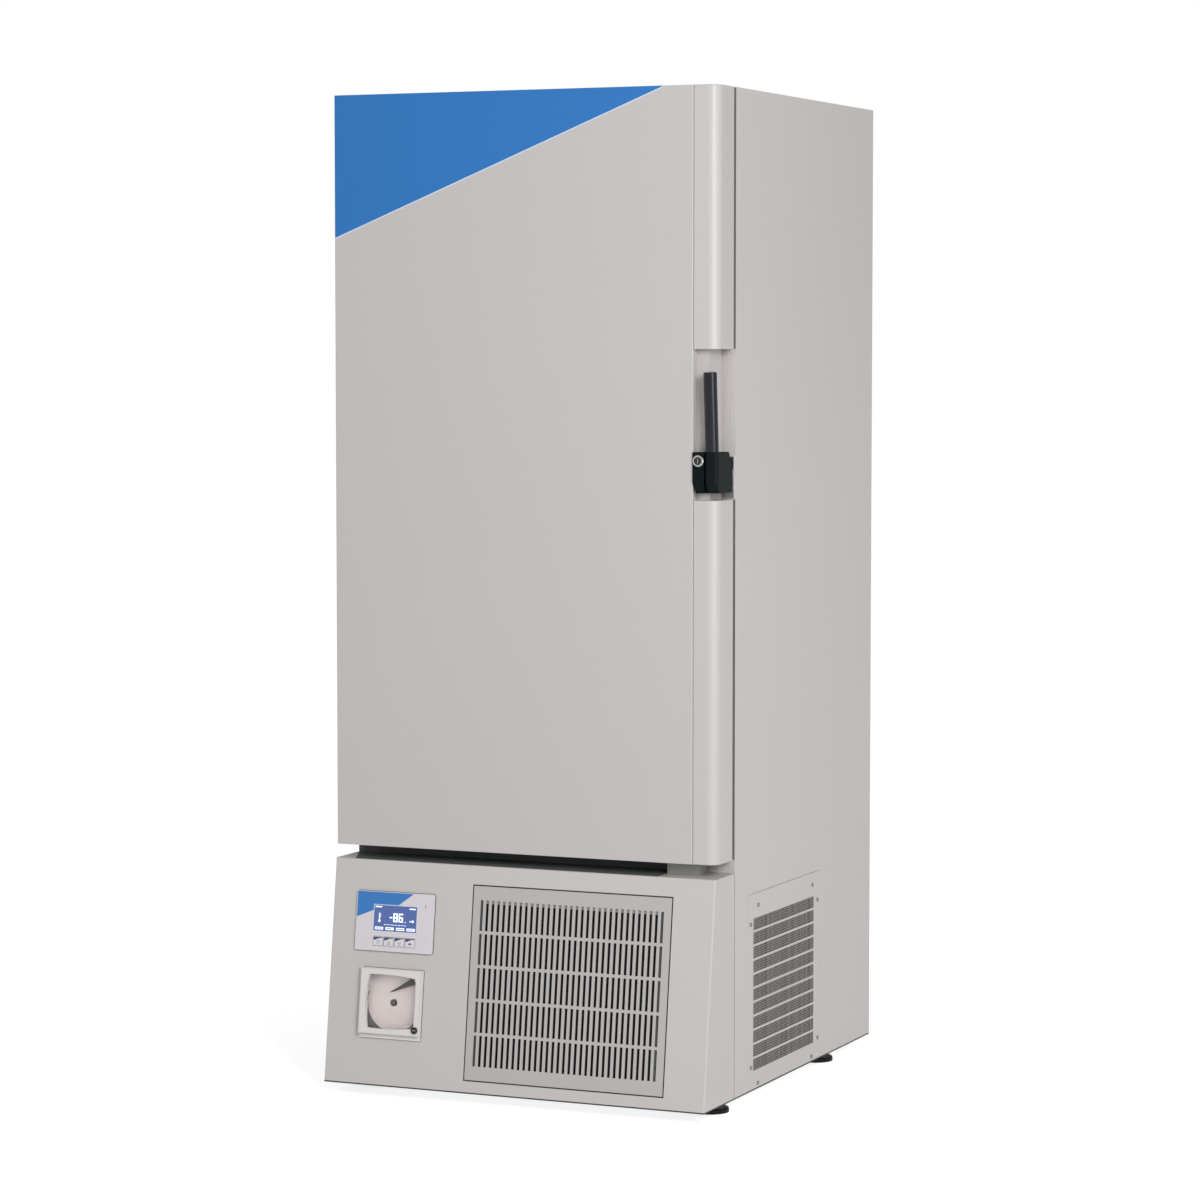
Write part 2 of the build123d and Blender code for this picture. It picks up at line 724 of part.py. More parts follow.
def handle_lever():
    """Arm at the door's edge with the upright round rod; it turns on the housing's stub."""
    front = -BLOCK_PROUD
    outline = [
        (front, BLOCK_TOP),
        (BLOCK_REAR - 21, BLOCK_TOP),
        (BLOCK_REAR - 2, BLOCK_TOP - 29),
        (BLOCK_REAR, BLOCK_BOTTOM + 11),
        (BLOCK_REAR - 8, BLOCK_BOTTOM),
        (front + 11, BLOCK_BOTTOM),
        (front, BLOCK_BOTTOM + 17.5),
    ]
    arm = prism_x(outline, LEVER_IN, HALF)
    corner = arm.edges().filter_by(Axis.Z).sort_by(Axis.Y)[:2].sort_by(Axis.X)[-1]
    arm = fillet(corner, 7)
    lean = tuple([0, -sin(radians(ROD_LEAN)), cos(radians(ROD_LEAN))])
    rod_x_mid = HALF - ROD_DIA / 2 - 0.7
    length = (ROD_TOP - BLOCK_TOP + 15) / lean[2]
    foot = Plane(origin=(rod_x_mid, ROD_Y, BLOCK_TOP), z_dir=lean)
    rod = foot * Pos(0, 0, length / 2 - 15) * Cylinder(ROD_DIA / 2, length)
    rod = chamfer(rod.faces().sort_by(Axis.Z)[-1].edges(), 1.2)
    big = ROD_DIA * 2
    rod -= block((HALF - big, HALF), (-big, big), (BLOCK_TOP - big, BLOCK_TOP))
    rod -= block((HALF - big, LEVER_IN), (-big, big), (BLOCK_TOP - big, BLOCK_TOP + 1))
    arm += rod
    plate = LEVER_IN - LEVER_GAP
    bore = (LEVER_IN - 1, plate + PIVOT_REACH + FIT)
    return arm - rod_x(PIVOT_DIA / 2 + PIN_FIT, bore, PIVOT_Y, PIVOT_Z)


def latch_keeper():
    """Plate on the cabinet's face, with the boss that the lever's tail bears on."""
    y = (CABINET_FRONT - KEEPER_PLATE, CABINET_FRONT)
    x = (LEVER_IN + 1, HALF - 3)
    keeper = block(x, y, (PIVOT_Z - 36, PIVOT_Z + 40))
    boss = block(
        (x[0] + 2, x[1] - 2),
        (BLOCK_REAR + KEEPER_CLEAR, CABINET_FRONT - KEEPER_PLATE),
        (PIVOT_Z - 20, PIVOT_Z + 16),
    )
    return keeper + boss


# Hinges

def hinge_levels():
    low = DOOR_BOTTOM + HINGE_EDGE_MARGIN
    high = HEIGHT - HINGE_EDGE_MARGIN
    return [low + i * (high - low) / (HINGE_COUNT - 1) for i in range(HINGE_COUNT)]


def hinge_cabinet_leaves():
    """Leaves on the cabinet's left side; each lower knuckle carries the fixed pin."""
    pieces = []
    for z in hinge_levels():
        low, high = z - HINGE_HEIGHT / 2, z + HINGE_HEIGHT / 2
        y0 = HINGE_Y + HINGE_BARREL / 2 - 1
        leaf = block((-HALF - HINGE_LEAF, -HALF), (y0, y0 + HINGE_LEAF_WIDTH), (low, high))
        leaf += block((HINGE_X, -HALF), (HINGE_Y + 2, y0 + HINGE_LEAF), (low, z))
        leaf += rod_z(HINGE_BARREL / 2, HINGE_X, HINGE_Y, (low, z))
        leaf += rod_z(HINGE_PIN / 2, HINGE_X, HINGE_Y, (low, high - HINGE_LEAF))
        pieces.append(leaf)
    return group(pieces)


def hinge_door_leaves():
    pieces = []
    for z in hinge_levels():
        low, high = z - HINGE_HEIGHT / 2, z + HINGE_HEIGHT / 2
        y1 = DOOR_THICK - HINGE_LEAF
        leaf = block((-HALF - HINGE_LEAF, -HALF), (y1 - HINGE_LEAF_WIDTH, y1), (low, high))
        z0 = z + FIT
        leaf += block((HINGE_X, -HALF), (y1 - HINGE_LEAF, HINGE_Y - 4), (z0, high))
        leaf += rod_z(HINGE_BARREL / 2, HINGE_X, HINGE_Y, (z0, high))
        leaf -= rod_z(HINGE_PIN / 2 + PIN_FIT, HINGE_X, HINGE_Y, (z, high + 1))
        pieces.append(leaf)
    return group(pieces)


def door_rest():
    """Block on the base cover's ledge that the closed door rides over."""
    rest = block(
        (REST_RIGHT - REST_WIDTH, REST_RIGHT),
        (REST_FRONT, REST_FRONT + REST_DEPTH),
        (BAY_TOP, DOOR_BOTTOM - REST_CLEAR),
    )
    edge = rest.edges().filter_by(Axis.X).sort_by(Axis.Z)[-2:].sort_by(Axis.Y)[0]
    return chamfer(edge, 5)


# Sloped base front

GRILLE_X = (-HALF + GRILLE_LEFT, -HALF + GRILLE_LEFT + GRILLE_WIDTH)
GRILLE_S = (GRILLE_TOP, GRILLE_TOP + GRILLE_HEIGHT)
PANEL_X = (-HALF + PANEL_LEFT, -HALF + PANEL_LEFT + PANEL_WIDTH)
PANEL_S = (PANEL_TOP, PANEL_TOP + PANEL_HEIGHT)
RECORDER_X = (-HALF + RECORDER_LEFT, -HALF + RECORDER_LEFT + RECORDER_WIDTH)
RECORDER_S = (RECORDER_TOP, RECORDER_TOP + RECORDER_HEIGHT)


def grow(pair, by):
    return (pair[0] - by, pair[1] + by)


def base_front_cover():
    """Folded painted cover: sloped front, ledge under the door and the two cheeks."""
    w = COVER_WALL
    drop = sin(SLOPE) / cos(SLOPE)
    outline = [
        (-LIP_BOTTOM, BODY_BOTTOM),
        (-LIP_TOP, BAY_TOP),
        (CABINET_FRONT, BAY_TOP),
        (CABINET_FRONT, BODY_BOTTOM),
    ]
    cover = prism_x(outline, -HALF, HALF)
    sloped = [e for e in cover.edges() if abs((e % 0.5).Z) > 0.9 and e.center().Y < 0]
    front_top = cover.edges().filter_by(Axis.X).sort_by(Axis.Z)[-2:].sort_by(Axis.Y)[0]
    cover = fillet(sloped + [front_top], COVER_RADIUS)
    inside = w / cos(SLOPE)
    hollow = [
        (-LIP_BOTTOM - drop * w + inside, BODY_BOTTOM - w),
        (-LIP_TOP - drop * w + inside, BAY_TOP - w),
        (CABINET_FRONT + w, BAY_TOP - w),
        (CABINET_FRONT + w, BODY_BOTTOM - w),
    ]
    cover -= prism_x(hollow, -HALF + w, HALF - w)
    n = (-w - 2, 2)
    cover -= slab(grow(GRILLE_X, GRILLE_GAP), grow(GRILLE_S, GRILLE_GAP), n)
    cover -= slab(grow(PANEL_X, FIT - PANEL_BOX_INSET), grow(PANEL_S, FIT - PANEL_BOX_INSET), n)
    inset = FIT - RECORDER_BOX_INSET
    cover -= slab(grow(RECORDER_X, inset), grow(RECORDER_S, inset), n)
    s = GRILLE_S[1] - GRILLE_PIVOT
    for side, edge in ((-1, GRILLE_X[0] - GRILLE_GAP), (1, GRILLE_X[1] + GRILLE_GAP)):
        near_x, far_x = edge, edge + side * 3
        x = (min(near_x, far_x), max(near_x, far_x))
        cover += slab(x, (s - 8, s + 10), (-w - 9, -w))
        tip = edge - side * (GRILLE_GAP + 5)
        pin = (min(tip, near_x), max(tip, near_x))
        cover += FRONT * Pos(sum(pin) / 2, -s, -GRILLE_PIVOT) * Rot(0, 90, 0) * Cylinder(
            GRILLE_PIN / 2, pin[1] - pin[0]
        )
    return cover


def front_grille():
    """Slotted sheet panel with turned-in edges, on two pins near its lower edge."""
    mid = FRONT * Pos(sum(GRILLE_X) / 2, -sum(GRILLE_S) / 2, 0)
    grid = GridLocations(SLOT_PITCH, SLOT_ROW_PITCH, SLOT_COLUMNS, SLOT_ROWS)
    slots = [loc * Rectangle(SLOT_WIDTH, SLOT_HEIGHT) for loc in grid]
    face = Rectangle(GRILLE_WIDTH, GRILLE_HEIGHT) - slots
    panel = mid * Pos(0, 0, -GRILLE_SHEET) * extrude(face, GRILLE_SHEET)
    t = GRILLE_SHEET
    back = slab(GRILLE_X, GRILLE_S, (-t - GRILLE_RETURN, -t))
    back -= slab(grow(GRILLE_X, -t), grow(GRILLE_S, -t), (-t - GRILLE_RETURN - 1, 0))
    panel += back
    s = GRILLE_S[1] - GRILLE_PIVOT
    hole = FRONT * Pos(sum(GRILLE_X) / 2, -s, -GRILLE_PIVOT) * Rot(0, 90, 0)
    return panel - hole * Cylinder(GRILLE_PIN / 2 + PIN_FIT, GRILLE_WIDTH + 2)


def air_filter():
    """Framed filter mat that clips between the grille's turned edges."""
    t = GRILLE_SHEET
    x = grow(GRILLE_X, -t - FIT)
    s = (GRILLE_S[0] + t + FIT, GRILLE_S[1] - 2 * GRILLE_PIVOT - t)
    n = (-t - 2 - FILTER_THICK, -t - 2)
    mat_x = grow(x, -FILTER_SIDE)
    mat_s = (s[0] + FILTER_HEAD, s[1] - FILTER_FOOT)
    frame = slab(x, s, n) - slab(mat_x, mat_s, n)
    return group([frame + slab(mat_x, mat_s, (n[0] + 3, n[1] - 3))])


# Control panel

def panel_point(left, top):
    return PANEL_X[0] + left, PANEL_S[0] + top


def key_spots():
    """Left edge and top of each key, from the panel's top left corner."""
    row = (KEY_COUNT - 1) * KEY_PITCH + KEY_WIDTH
    start = SCREEN_LEFT + SCREEN_WIDTH / 2 - row / 2
    return [panel_point(start + i * KEY_PITCH, KEY_TOP) for i in range(KEY_COUNT)]


def control_bezel():
    """Moulded front plate with a shallow box behind, a screen window and key holes."""
    face = slab(PANEL_X, PANEL_S, (0, PANEL_PROUD))
    standing = [e for e in face.edges() if e.length < PANEL_PROUD + 1]
    face = fillet(standing, PANEL_CORNER)
    rear = PANEL_PROUD - PANEL_FACE
    box_x = grow(PANEL_X, -PANEL_BOX_INSET)
    box_s = grow(PANEL_S, -PANEL_BOX_INSET)
    face += slab(box_x, box_s, (-PANEL_BOX_DEPTH, 0))
    w = PANEL_BOX_WALL
    face -= slab(grow(box_x, -w), grow(box_s, -w), (-PANEL_BOX_DEPTH - 1, rear))
    x, s = panel_point(SCREEN_LEFT, SCREEN_TOP)
    n = (rear - 1, PANEL_PROUD + 1)
    face -= slab((x, x + SCREEN_WIDTH), (s, s + SCREEN_HEIGHT), n)
    for x, s in key_spots():
        face -= slab((x, x + KEY_WIDTH), (s, s + KEY_HEIGHT), n)
    return face


def display_module():
    """Screen block behind the window, on the circuit board with its four key switches."""
    rear = PANEL_PROUD - PANEL_FACE
    x, s = panel_point(SCREEN_LEFT, SCREEN_TOP)
    xs = (x, x + SCREEN_WIDTH)
    ss = (s, s + SCREEN_HEIGHT)
    screen = slab(grow(xs, 2), grow(ss, 2), (-6, rear))
    screen += slab(grow(xs, -FIT), grow(ss, -FIT), (rear - 1, PANEL_PROUD - SCREEN_SINK))
    inset = -PANEL_BOX_INSET - PANEL_BOX_WALL - FIT
    board = slab(grow(PANEL_X, inset), grow(PANEL_S, inset), (-8, -6))
    for x, s in key_spots():
        top = rear - 2 * FIT - 1.4 - KEY_TRAVEL
        mid_x, mid_s = x + KEY_WIDTH / 2, s + KEY_HEIGHT / 2
        board += slab((mid_x - 3, mid_x + 3), (mid_s - 3, mid_s + 3), (-6, top))
    return group([screen + board])


def display_key(i):
    """Key cap in its hole, kept in by a rim behind the plate."""
    rear = PANEL_PROUD - PANEL_FACE
    x, s = key_spots()[i]
    xs = (x + FIT, x + KEY_WIDTH - FIT)
    ss = (s + FIT, s + KEY_HEIGHT - FIT)
    cap = slab(xs, ss, (rear - 1, PANEL_PROUD + KEY_PROUD))
    return cap + slab(grow(xs, 0.9), grow(ss, 1.5), (rear - FIT - 1.4, rear - FIT))


# Chart recorder

CHART_AT = (sum(RECORDER_X) / 2, sum(RECORDER_S) / 2 - 2)
COVER_X = (RECORDER_X[0] + RECORDER_EDGE, RECORDER_X[1] - RECORDER_EDGE / 2)
COVER_S = (RECORDER_S[0] + RECORDER_EAR + FIT, RECORDER_S[1] - RECORDER_FOOT)
COVER_BACK = RECORDER_FLANGE + RECORDER_COVER_GAP
COVER_N = (COVER_BACK, COVER_BACK + RECORDER_COVER)
COVER_PIN = (COVER_X[0] - 1.4, (COVER_N[0] + COVER_N[1]) / 2)
PEN_AT = (CHART_AT[0] + 45, CHART_AT[1] - 45)
KNOB_AT = (RECORDER_X[1] - 7.5, RECORDER_S[1] - 20.5)


def recorder_case():
    """Case let into the cover: flange, deep box with the chart plate, hinge ears."""
    case = slab(RECORDER_X, RECORDER_S, (0, RECORDER_FLANGE))
    box_x = grow(RECORDER_X, -RECORDER_BOX_INSET)
    box_s = grow(RECORDER_S, -RECORDER_BOX_INSET)
    case += slab(box_x, box_s, (-RECORDER_DEPTH, 0))
    w = RECORDER_WALL
    case -= slab(grow(box_x, -w), grow(box_s, -w), (-CHART_SINK - CHART_SHEET - FIT, 9))
    shaft = CHART_HUB_DIA / 2 - 1.5
    case += rod_n(shaft, *CHART_AT, (-CHART_SINK - 3, -CHART_SINK + 2.5))
    case += rod_n(1.5, *PEN_AT, (-CHART_SINK - 3, -3))
    x, n = COVER_PIN
    low, high = COVER_S
    for ear, pin in (
        ((low - FIT - RECORDER_EAR, low - FIT), (low - FIT - RECORDER_EAR, low + 5)),
        ((high + FIT, high + FIT + RECORDER_EAR), (high - 5, high + FIT + RECORDER_EAR)),
    ):
        case += slab((x - 2, x + 2.5), ear, (0, n + 2))
        case += rod_s(RECORDER_PIN / 2, x, pin, n)
    return case


def window_face(inset):
    """Barrel-shaped window: four corners joined by arcs that bulge outward."""
    x0 = COVER_X[0] + RECORDER_FRAME + inset
    x1 = COVER_X[1] - RECORDER_FRAME * 0.7 - inset
    s0 = COVER_S[0] + RECORDER_FRAME * 0.8 + inset
    s1 = COVER_S[1] - RECORDER_FRAME * 0.8 - inset
    b = RECORDER_BULGE
    corners = [(x0 + b, -s0 - 2), (x1 - 2, -s0 - b), (x1 - 2, -s1 + b), (x0 + b, -s1 + 2)]
    bulge = (3, 2, 3, 6)
    arcs = []
    for i in range(4):
        a, c = Vector(*corners[i]), Vector(*corners[(i + 1) % 4])
        along = (c - a).normalized()
        out = Vector(-along.Y, along.X) * bulge[i]
        arcs.append(ThreePointArc(a, (a + c) * 0.5 + out, c))
    return make_face(arcs)


def recorder_cover():
    """Cover frame round the window, with its hinge knuckle on the left."""
    x, n = COVER_PIN
    cover = slab(COVER_X, COVER_S, COVER_N)
    cover -= FRONT * Pos(0, 0, COVER_N[0] - 1) * extrude(window_face(0), RECORDER_COVER + 2)
    ledge = FRONT * Pos(0, 0, COVER_N[0]) * extrude(window_face(-PANE_LAP), PANE_THICK)
    cover -= ledge
    clear = (COVER_S[0] + FIT, COVER_S[1] - FIT)
    cover += rod_s(RECORDER_PIN, x, clear, n)
    bore = RECORDER_PIN / 2 + PIN_FIT
    for s in ((COVER_S[0] - 1, COVER_S[0] + 6), (COVER_S[1] - 6, COVER_S[1] + 1)):
        cover -= rod_s(bore, x, s, n)
    kx, ks = KNOB_AT
    return cover - rod_n(KNOB_STEM / 2 + PIN_FIT, kx, ks, (COVER_N[0] - 1, COVER_N[1] + 1))


def recorder_window():
    pane = extrude(window_face(-PANE_LAP), PANE_THICK)
    return FRONT * Pos(0, 0, COVER_N[0]) * pane


def recorder_knob():
    kx, ks = KNOB_AT
    top = COVER_N[1] + FIT
    knob = rod_n(KNOB_DIA / 2, kx, ks, (top, top + KNOB_PROUD))
    return knob + rod_n(KNOB_STEM / 2, kx, ks, (COVER_N[0] + 1, top + 1))


def chart_disc():
    """Paper chart, and the hub that clamps it to the recorder's shaft."""
    disc = rod_n(CHART_DIA / 2, *CHART_AT, (-CHART_SINK - CHART_SHEET, -CHART_SINK))
    bore = CHART_HUB_DIA / 2 - 1.5 + PIN_FIT
    hub = rod_n(CHART_HUB_DIA / 2, *CHART_AT, (-CHART_SINK, -CHART_SINK + 4.5))
    hole = rod_n(bore, *CHART_AT, (-CHART_SINK - 4, -CHART_SINK + 2.8))
    return group([disc - hole, hub - hole])


def pen_arm():
    """Wedge-shaped pen arm on its pivot in the recorder's upper right corner."""
    x, s = PEN_AT
    n = -CHART_SINK + 5.2
    turn = -154.0
    blade = Polyline((0, 7), (PEN_LENGTH, 0.6), (PEN_LENGTH, -0.6), (0, -7), close=True)
    arm = extrude(make_face(blade), 1.0)
    arm += Pos(0, 0, 0.5) * Cylinder(PEN_PIVOT_DIA / 2 + 3, 1.0)
    arm += Pos(0, 0, 0.25) * Cylinder(PEN_PIVOT_DIA / 2, 1.5)
    arm -= Cylinder(1.5 + PIN_FIT, 8)
    return FRONT * Pos(x, -s, n) * Rot(0, 0, turn) * arm


# Service panels

SERVICE_Y = (CABINET_FRONT + SERVICE_FRONT, CABINET_FRONT + SERVICE_FRONT + SERVICE_WIDTH)


def side_landing(side):
    """Strip inside the side sheet that the service panel screws to."""
    a, b = side * (HALF - SKIN), side * (HALF - 2 * SKIN)
    x = (min(a, b), max(a, b))
    z1 = SERVICE_TOP
    land = block(x, grow(SERVICE_Y, 10), (BODY_BOTTOM, z1 + 10))
    return land - block(x, grow(SERVICE_Y, -10), (BODY_BOTTOM - 1, z1 - 10))


def service_panel(side):
    """Flat removable panel with bands of vents between light bars."""
    a, b = side * (HALF - SKIN), side * HALF
    x = (min(a, b), max(a, b))
    panel = block(x, grow(SERVICE_Y, -SERVICE_GAP), (BODY_BOTTOM, SERVICE_TOP - SERVICE_GAP))
    y0 = SERVICE_Y[0] + VENT_MARGIN
    for i in range(VENT_BANDS):
        z0 = VENT_BOTTOM + i * VENT_PITCH
        panel -= block((x[0] - 1, x[1] + 1), (y0, y0 + VENT_WIDTH), (z0, z0 + VENT_HEIGHT))
    return panel


def panel_screws():
    """Pan-head screws round both service panels and the rear cover."""
    y0, y1 = SERVICE_Y
    low, high = BODY_BOTTOM, SERVICE_TOP
    spots = [(y0 + 51, high - 25), (y1 - 41, high - 25), (y0 + 12, high - 58), (y1 - 13, high - 58)]
    spots += [(y0 + 51, low + 8), (y1 - 43, low + 8), (y0 + 14, low + 43), (y1 - 10, low + 41)]
    pieces = []
    for side in (-1, 1):
        for y, z in spots:
            head = rod_x(SCREW_HEAD / 2, (0, SCREW_PROUD), 0, 0)
            head = fillet(head.edges().sort_by(Axis.X)[-1], SCREW_PROUD * 0.6)
            place = Pos(side * HALF, y, z) * Rot(0, 0, 0 if side > 0 else 180)
            pieces.append(place * head)
    return group(pieces)


# Machine bay

def cross_rail(y):
    return block((-BAY_HALF, BAY_HALF), (y - 20, y + 20), (BAY_TOP_OF_FLOOR, BAY_TOP_OF_FLOOR + 20))


def tail_x():
    return LINER_HALF - COIL_INSET + COIL_BEND


def coil_y():
    return LINER_BACK + LINER_SHEET + COIL_DIA / 2 + FIT


def base_frame():
    """Welded frame: floor tray, two cross rails, four angle posts and the deck above."""
    y0 = -LIP_TOP - 30
    frame = block((-BAY_HALF, BAY_HALF), (y0, BAY_BACK), (BAY_FLOOR, BAY_TOP_OF_FLOOR))
    frame += cross_rail(FOOT_FRONT_Y) + cross_rail(FOOT_REAR_Y)
    deck = block(
        (-BAY_HALF, BAY_HALF),
        (CABINET_FRONT + BAY_CLEAR, BAY_BACK),
        (BAY_TOP - BAY_SHEET, BAY_TOP),
    )
    for side in (-1, 1):
        deck -= rod_z(COIL_DIA / 2 + 2, side * tail_x(), coil_y(), (BAY_TOP - 9, BAY_TOP + 9))
    frame += deck
    t = BAY_SHEET
    z = (BAY_TOP_OF_FLOOR, BAY_TOP - BAY_SHEET)
    for side in (-1, 1):
        for y, toward in ((CABINET_FRONT + BAY_CLEAR, 1), (BAY_BACK, -1)):
            xs = sorted((side * BAY_HALF, side * (BAY_HALF - POST)))
            ys = sorted((y, y + toward * POST))
            post = block(xs, ys, z)
            xi = sorted((side * (BAY_HALF - t), side * (BAY_HALF - POST - t)))
            yi = sorted((y + toward * t, y + toward * (POST + t)))
            frame += post - block(xi, yi, z)
    for x, y in foot_spots():
        frame -= rod_z(FOOT_STEM / 2 + FIT, x, y, (BAY_FLOOR - 1, BAY_FLOOR + 40))
    return frame


def foot_spots():
    return [(s * FOOT_X, y) for y in (FOOT_FRONT_Y, FOOT_REAR_Y) for s in (-1, 1)]


def levelling_feet():
    """Disc feet on threaded stems, each with its lock nut under the tray."""
    pieces = []
    for x, y in foot_spots():
        foot = rod_z(FOOT_DIA / 2, x, y, (0, FOOT_HEIGHT))
        foot = fillet(foot.edges().sort_by(Axis.Z)[-1], 4)
        foot += rod_z(FOOT_STEM, x, y, (FOOT_HEIGHT - 2, FOOT_HEIGHT + 4))
        foot += rod_z(FOOT_STEM / 2, x, y, (FOOT_HEIGHT, BAY_TOP_OF_FLOOR + 26))
        nut = extrude(RegularPolygon(FOOT_NUT / 2, 6), 8)
        foot += Pos(x, y, BAY_FLOOR - 8) * nut
        pieces.append(foot)
    return group(pieces)


def grommet_spots():
    dx, dy = GROMMET_SPREAD
    return [(sx * dx / 2, sy * dy / 2) for sx in (-1, 1) for sy in (-1, 1)]


def compressor_mounts():
    pieces = []
    z0 = BAY_TOP_OF_FLOOR
    for cx in (-COMPRESSOR_X, COMPRESSOR_X):
        for dx, dy in grommet_spots():
            x, y = cx + dx, COMPRESSOR_Y + dy
            mount = rod_z(GROMMET_DIA / 2, x, y, (z0, z0 + GROMMET_HEIGHT))
            pieces.append(mount + rod_z(4, x, y, (z0, z0 + GROMMET_HEIGHT + 12)))
    return group(pieces)


def port_z():
    return BAY_TOP_OF_FLOOR + GROMMET_HEIGHT + 4 + SHELL_HEIGHT + 12


def compressor(cx):
    """Welded hermetic shell on a pressed foot plate, with its two tube stubs."""
    r, h = SHELL_DIA / 2, SHELL_HEIGHT
    seam = h * 0.52
    half = [
        (0, 0), (r * 0.7, 0), (r * 0.94, h * 0.08), (r * 0.97, seam - 5), (r, seam - 5),
        (r, seam + 5), (r * 0.95, seam + 5), (r * 0.95, h * 0.78), (r * 0.78, h * 0.93),
        (r * 0.45, h), (0, h),
    ]
    shell = revolve(Plane.XZ * make_face(Polyline(*half, close=True)), Axis.Z)
    z0 = BAY_TOP_OF_FLOOR + GROMMET_HEIGHT
    body = Pos(cx, COMPRESSOR_Y, z0 + 4) * shell
    dx, dy = GROMMET_SPREAD
    plate = fillet(
        Box(dx + 44, dy + 40, 4).edges().filter_by(Axis.Z), 16
    )
    body += Pos(cx, COMPRESSOR_Y, z0 + 2) * plate
    body += Pos(cx, COMPRESSOR_Y - r * 0.98, z0 + h * 0.55) * Box(*TERMINAL_BOX)
    for px, py in grommet_spots():
        body -= rod_z(4 + FIT, cx + px, COMPRESSOR_Y + py, (z0 - 1, z0 + 5))
    for side in (-1, 1):
        body += rod_z(PIPE_DIA / 2 + 1.2, cx + side * 32, COMPRESSOR_Y, (port_z() - 30, port_z()))
    return body


CONDENSER_X = sum(GRILLE_X) / 2
CONDENSER_YS = (CONDENSER_Y, CONDENSER_Y + CONDENSER_THICK)
CONDENSER_Z = (CONDENSER_BOTTOM, CONDENSER_BOTTOM + CONDENSER_HEIGHT)
FAN_Z = sum(CONDENSER_Z) / 2
FAN_FRONT = CONDENSER_YS[1] + 16


def header_end():
    return CONDENSER_X + CONDENSER_WIDTH / 2 + HEADER_OUT


EXCHANGER_X = -tail_x() + EXCHANGER_IN
SEPARATOR_X = header_end() + SEPARATOR_OUT


def condenser_coil():
    """Finned block between two end plates, on two feet, with its header stubs."""
    half = CONDENSER_WIDTH / 2
    fins = block((CONDENSER_X - half, CONDENSER_X + half), CONDENSER_YS, CONDENSER_Z)
    count = int((CONDENSER_WIDTH - 2 * FIN_PITCH) / FIN_PITCH)
    slots = GridLocations(FIN_PITCH, 1, count, 1)
    mouth = Pos(CONDENSER_X, CONDENSER_Y, sum(CONDENSER_Z) / 2)
    fins -= [mouth * at * Box(FIN_SLOT, 2 * FIN_SLOT_DEPTH, CONDENSER_HEIGHT + 1) for at in slots]
    for side in (-1, 1):
        a, b = CONDENSER_X + side * half, CONDENSER_X + side * (half - 2)
        fins += block((min(a, b), max(a, b)), grow(CONDENSER_YS, 4), grow(CONDENSER_Z, 2))
        x = CONDENSER_X + side * half * 0.7
        foot = (BAY_TOP_OF_FLOOR + 20, CONDENSER_Z[0])
        fins += block((x - 15, x + 15), (CONDENSER_Y, FOOT_FRONT_Y + 18), foot)
    y = sum(CONDENSER_YS) / 2
    for z in (CONDENSER_Z[0] + 25, CONDENSER_Z[1] - 25):
        fins += rod_x(PIPE_DIA / 2 + 1.2, (CONDENSER_X + half - 1, header_end()), y, z)
    return fins


def fan_shroud():
    """Plenum behind the condenser, with the fan ring and the three-arm motor bracket."""
    half = CONDENSER_WIDTH / 2 - 6
    x = (CONDENSER_X - half, CONDENSER_X + half)
    z = grow(CONDENSER_Z, -6)
    y0, y1 = CONDENSER_YS[1], FAN_FRONT - 4
    bore = FAN_DIA / 2 + FAN_TIP_CLEAR
    shroud = block(x, (y0, y1), z) - block(grow(x, -2), (y0 - 1, y1 - 2), grow(z, -2))
    rear = FAN_FRONT + FAN_DEPTH + 8
    shroud += rod_y(bore + 2, CONDENSER_X, (y1 - 2, rear), FAN_Z)
    shroud -= rod_y(bore, CONDENSER_X, (y1 - 9, rear + 1), FAN_Z)
    plate = rod_y(MOTOR_DIA / 2, CONDENSER_X, (rear - 3, rear), FAN_Z)
    for i in range(3):
        arm = Pos(CONDENSER_X, rear - 1.5, FAN_Z) * Rot(0, 90 + 120 * i, 0)
        plate += arm * Pos((bore + 1) / 2, 0, 0) * Box(bore + 1, 3, 14)
    return shroud + plate - rod_y(SHAFT_DIA / 2 + 2, CONDENSER_X, (rear - 5, rear + 1), FAN_Z)


def fan_motor():
    rear = FAN_FRONT + FAN_DEPTH + 8
    can = rod_y(MOTOR_DIA / 2, CONDENSER_X, (rear, rear + MOTOR_LENGTH), FAN_Z)
    can = fillet(can.edges().sort_by(Axis.Y)[-1], 8)
    return can + rod_y(SHAFT_DIA / 2, CONDENSER_X, (FAN_FRONT + 10, rear + 1), FAN_Z)


def fan_blade():
    """Hub with pitched blades, pressed on the motor's shaft."""
    middle = FAN_FRONT + FAN_DEPTH / 2
    hub = rod_y(FAN_HUB / 2, 0, (-FAN_DEPTH / 2 + 2, FAN_DEPTH / 2 - 2), 0)
    hub = fillet(hub.edges().sort_by(Axis.Y)[0], 5)
    tip = FAN_DIA / 2
    pitch = 28.0
    chord = (FAN_DEPTH - 4) / sin(radians(pitch))
    root = FAN_HUB / 2 - 2
    for i in range(FAN_BLADES):
        blade = Pos((root + tip) / 2 + 2, 0, 0) * Rot(90 - pitch, 0, 0) * Box(tip - root + 4, 2, chord)
        blade = blade & Rot(90, 0, 0) * Cylinder(tip, FAN_DEPTH)
        hub += Rot(0, 360 / FAN_BLADES * i, 0) * blade
    depth = FAN_FRONT + 10 - middle - FIT
    hub -= rod_y(SHAFT_DIA / 2 + PIN_FIT, 0, (depth, FAN_DEPTH), 0)
    return Pos(CONDENSER_X, middle, FAN_Z) * hub


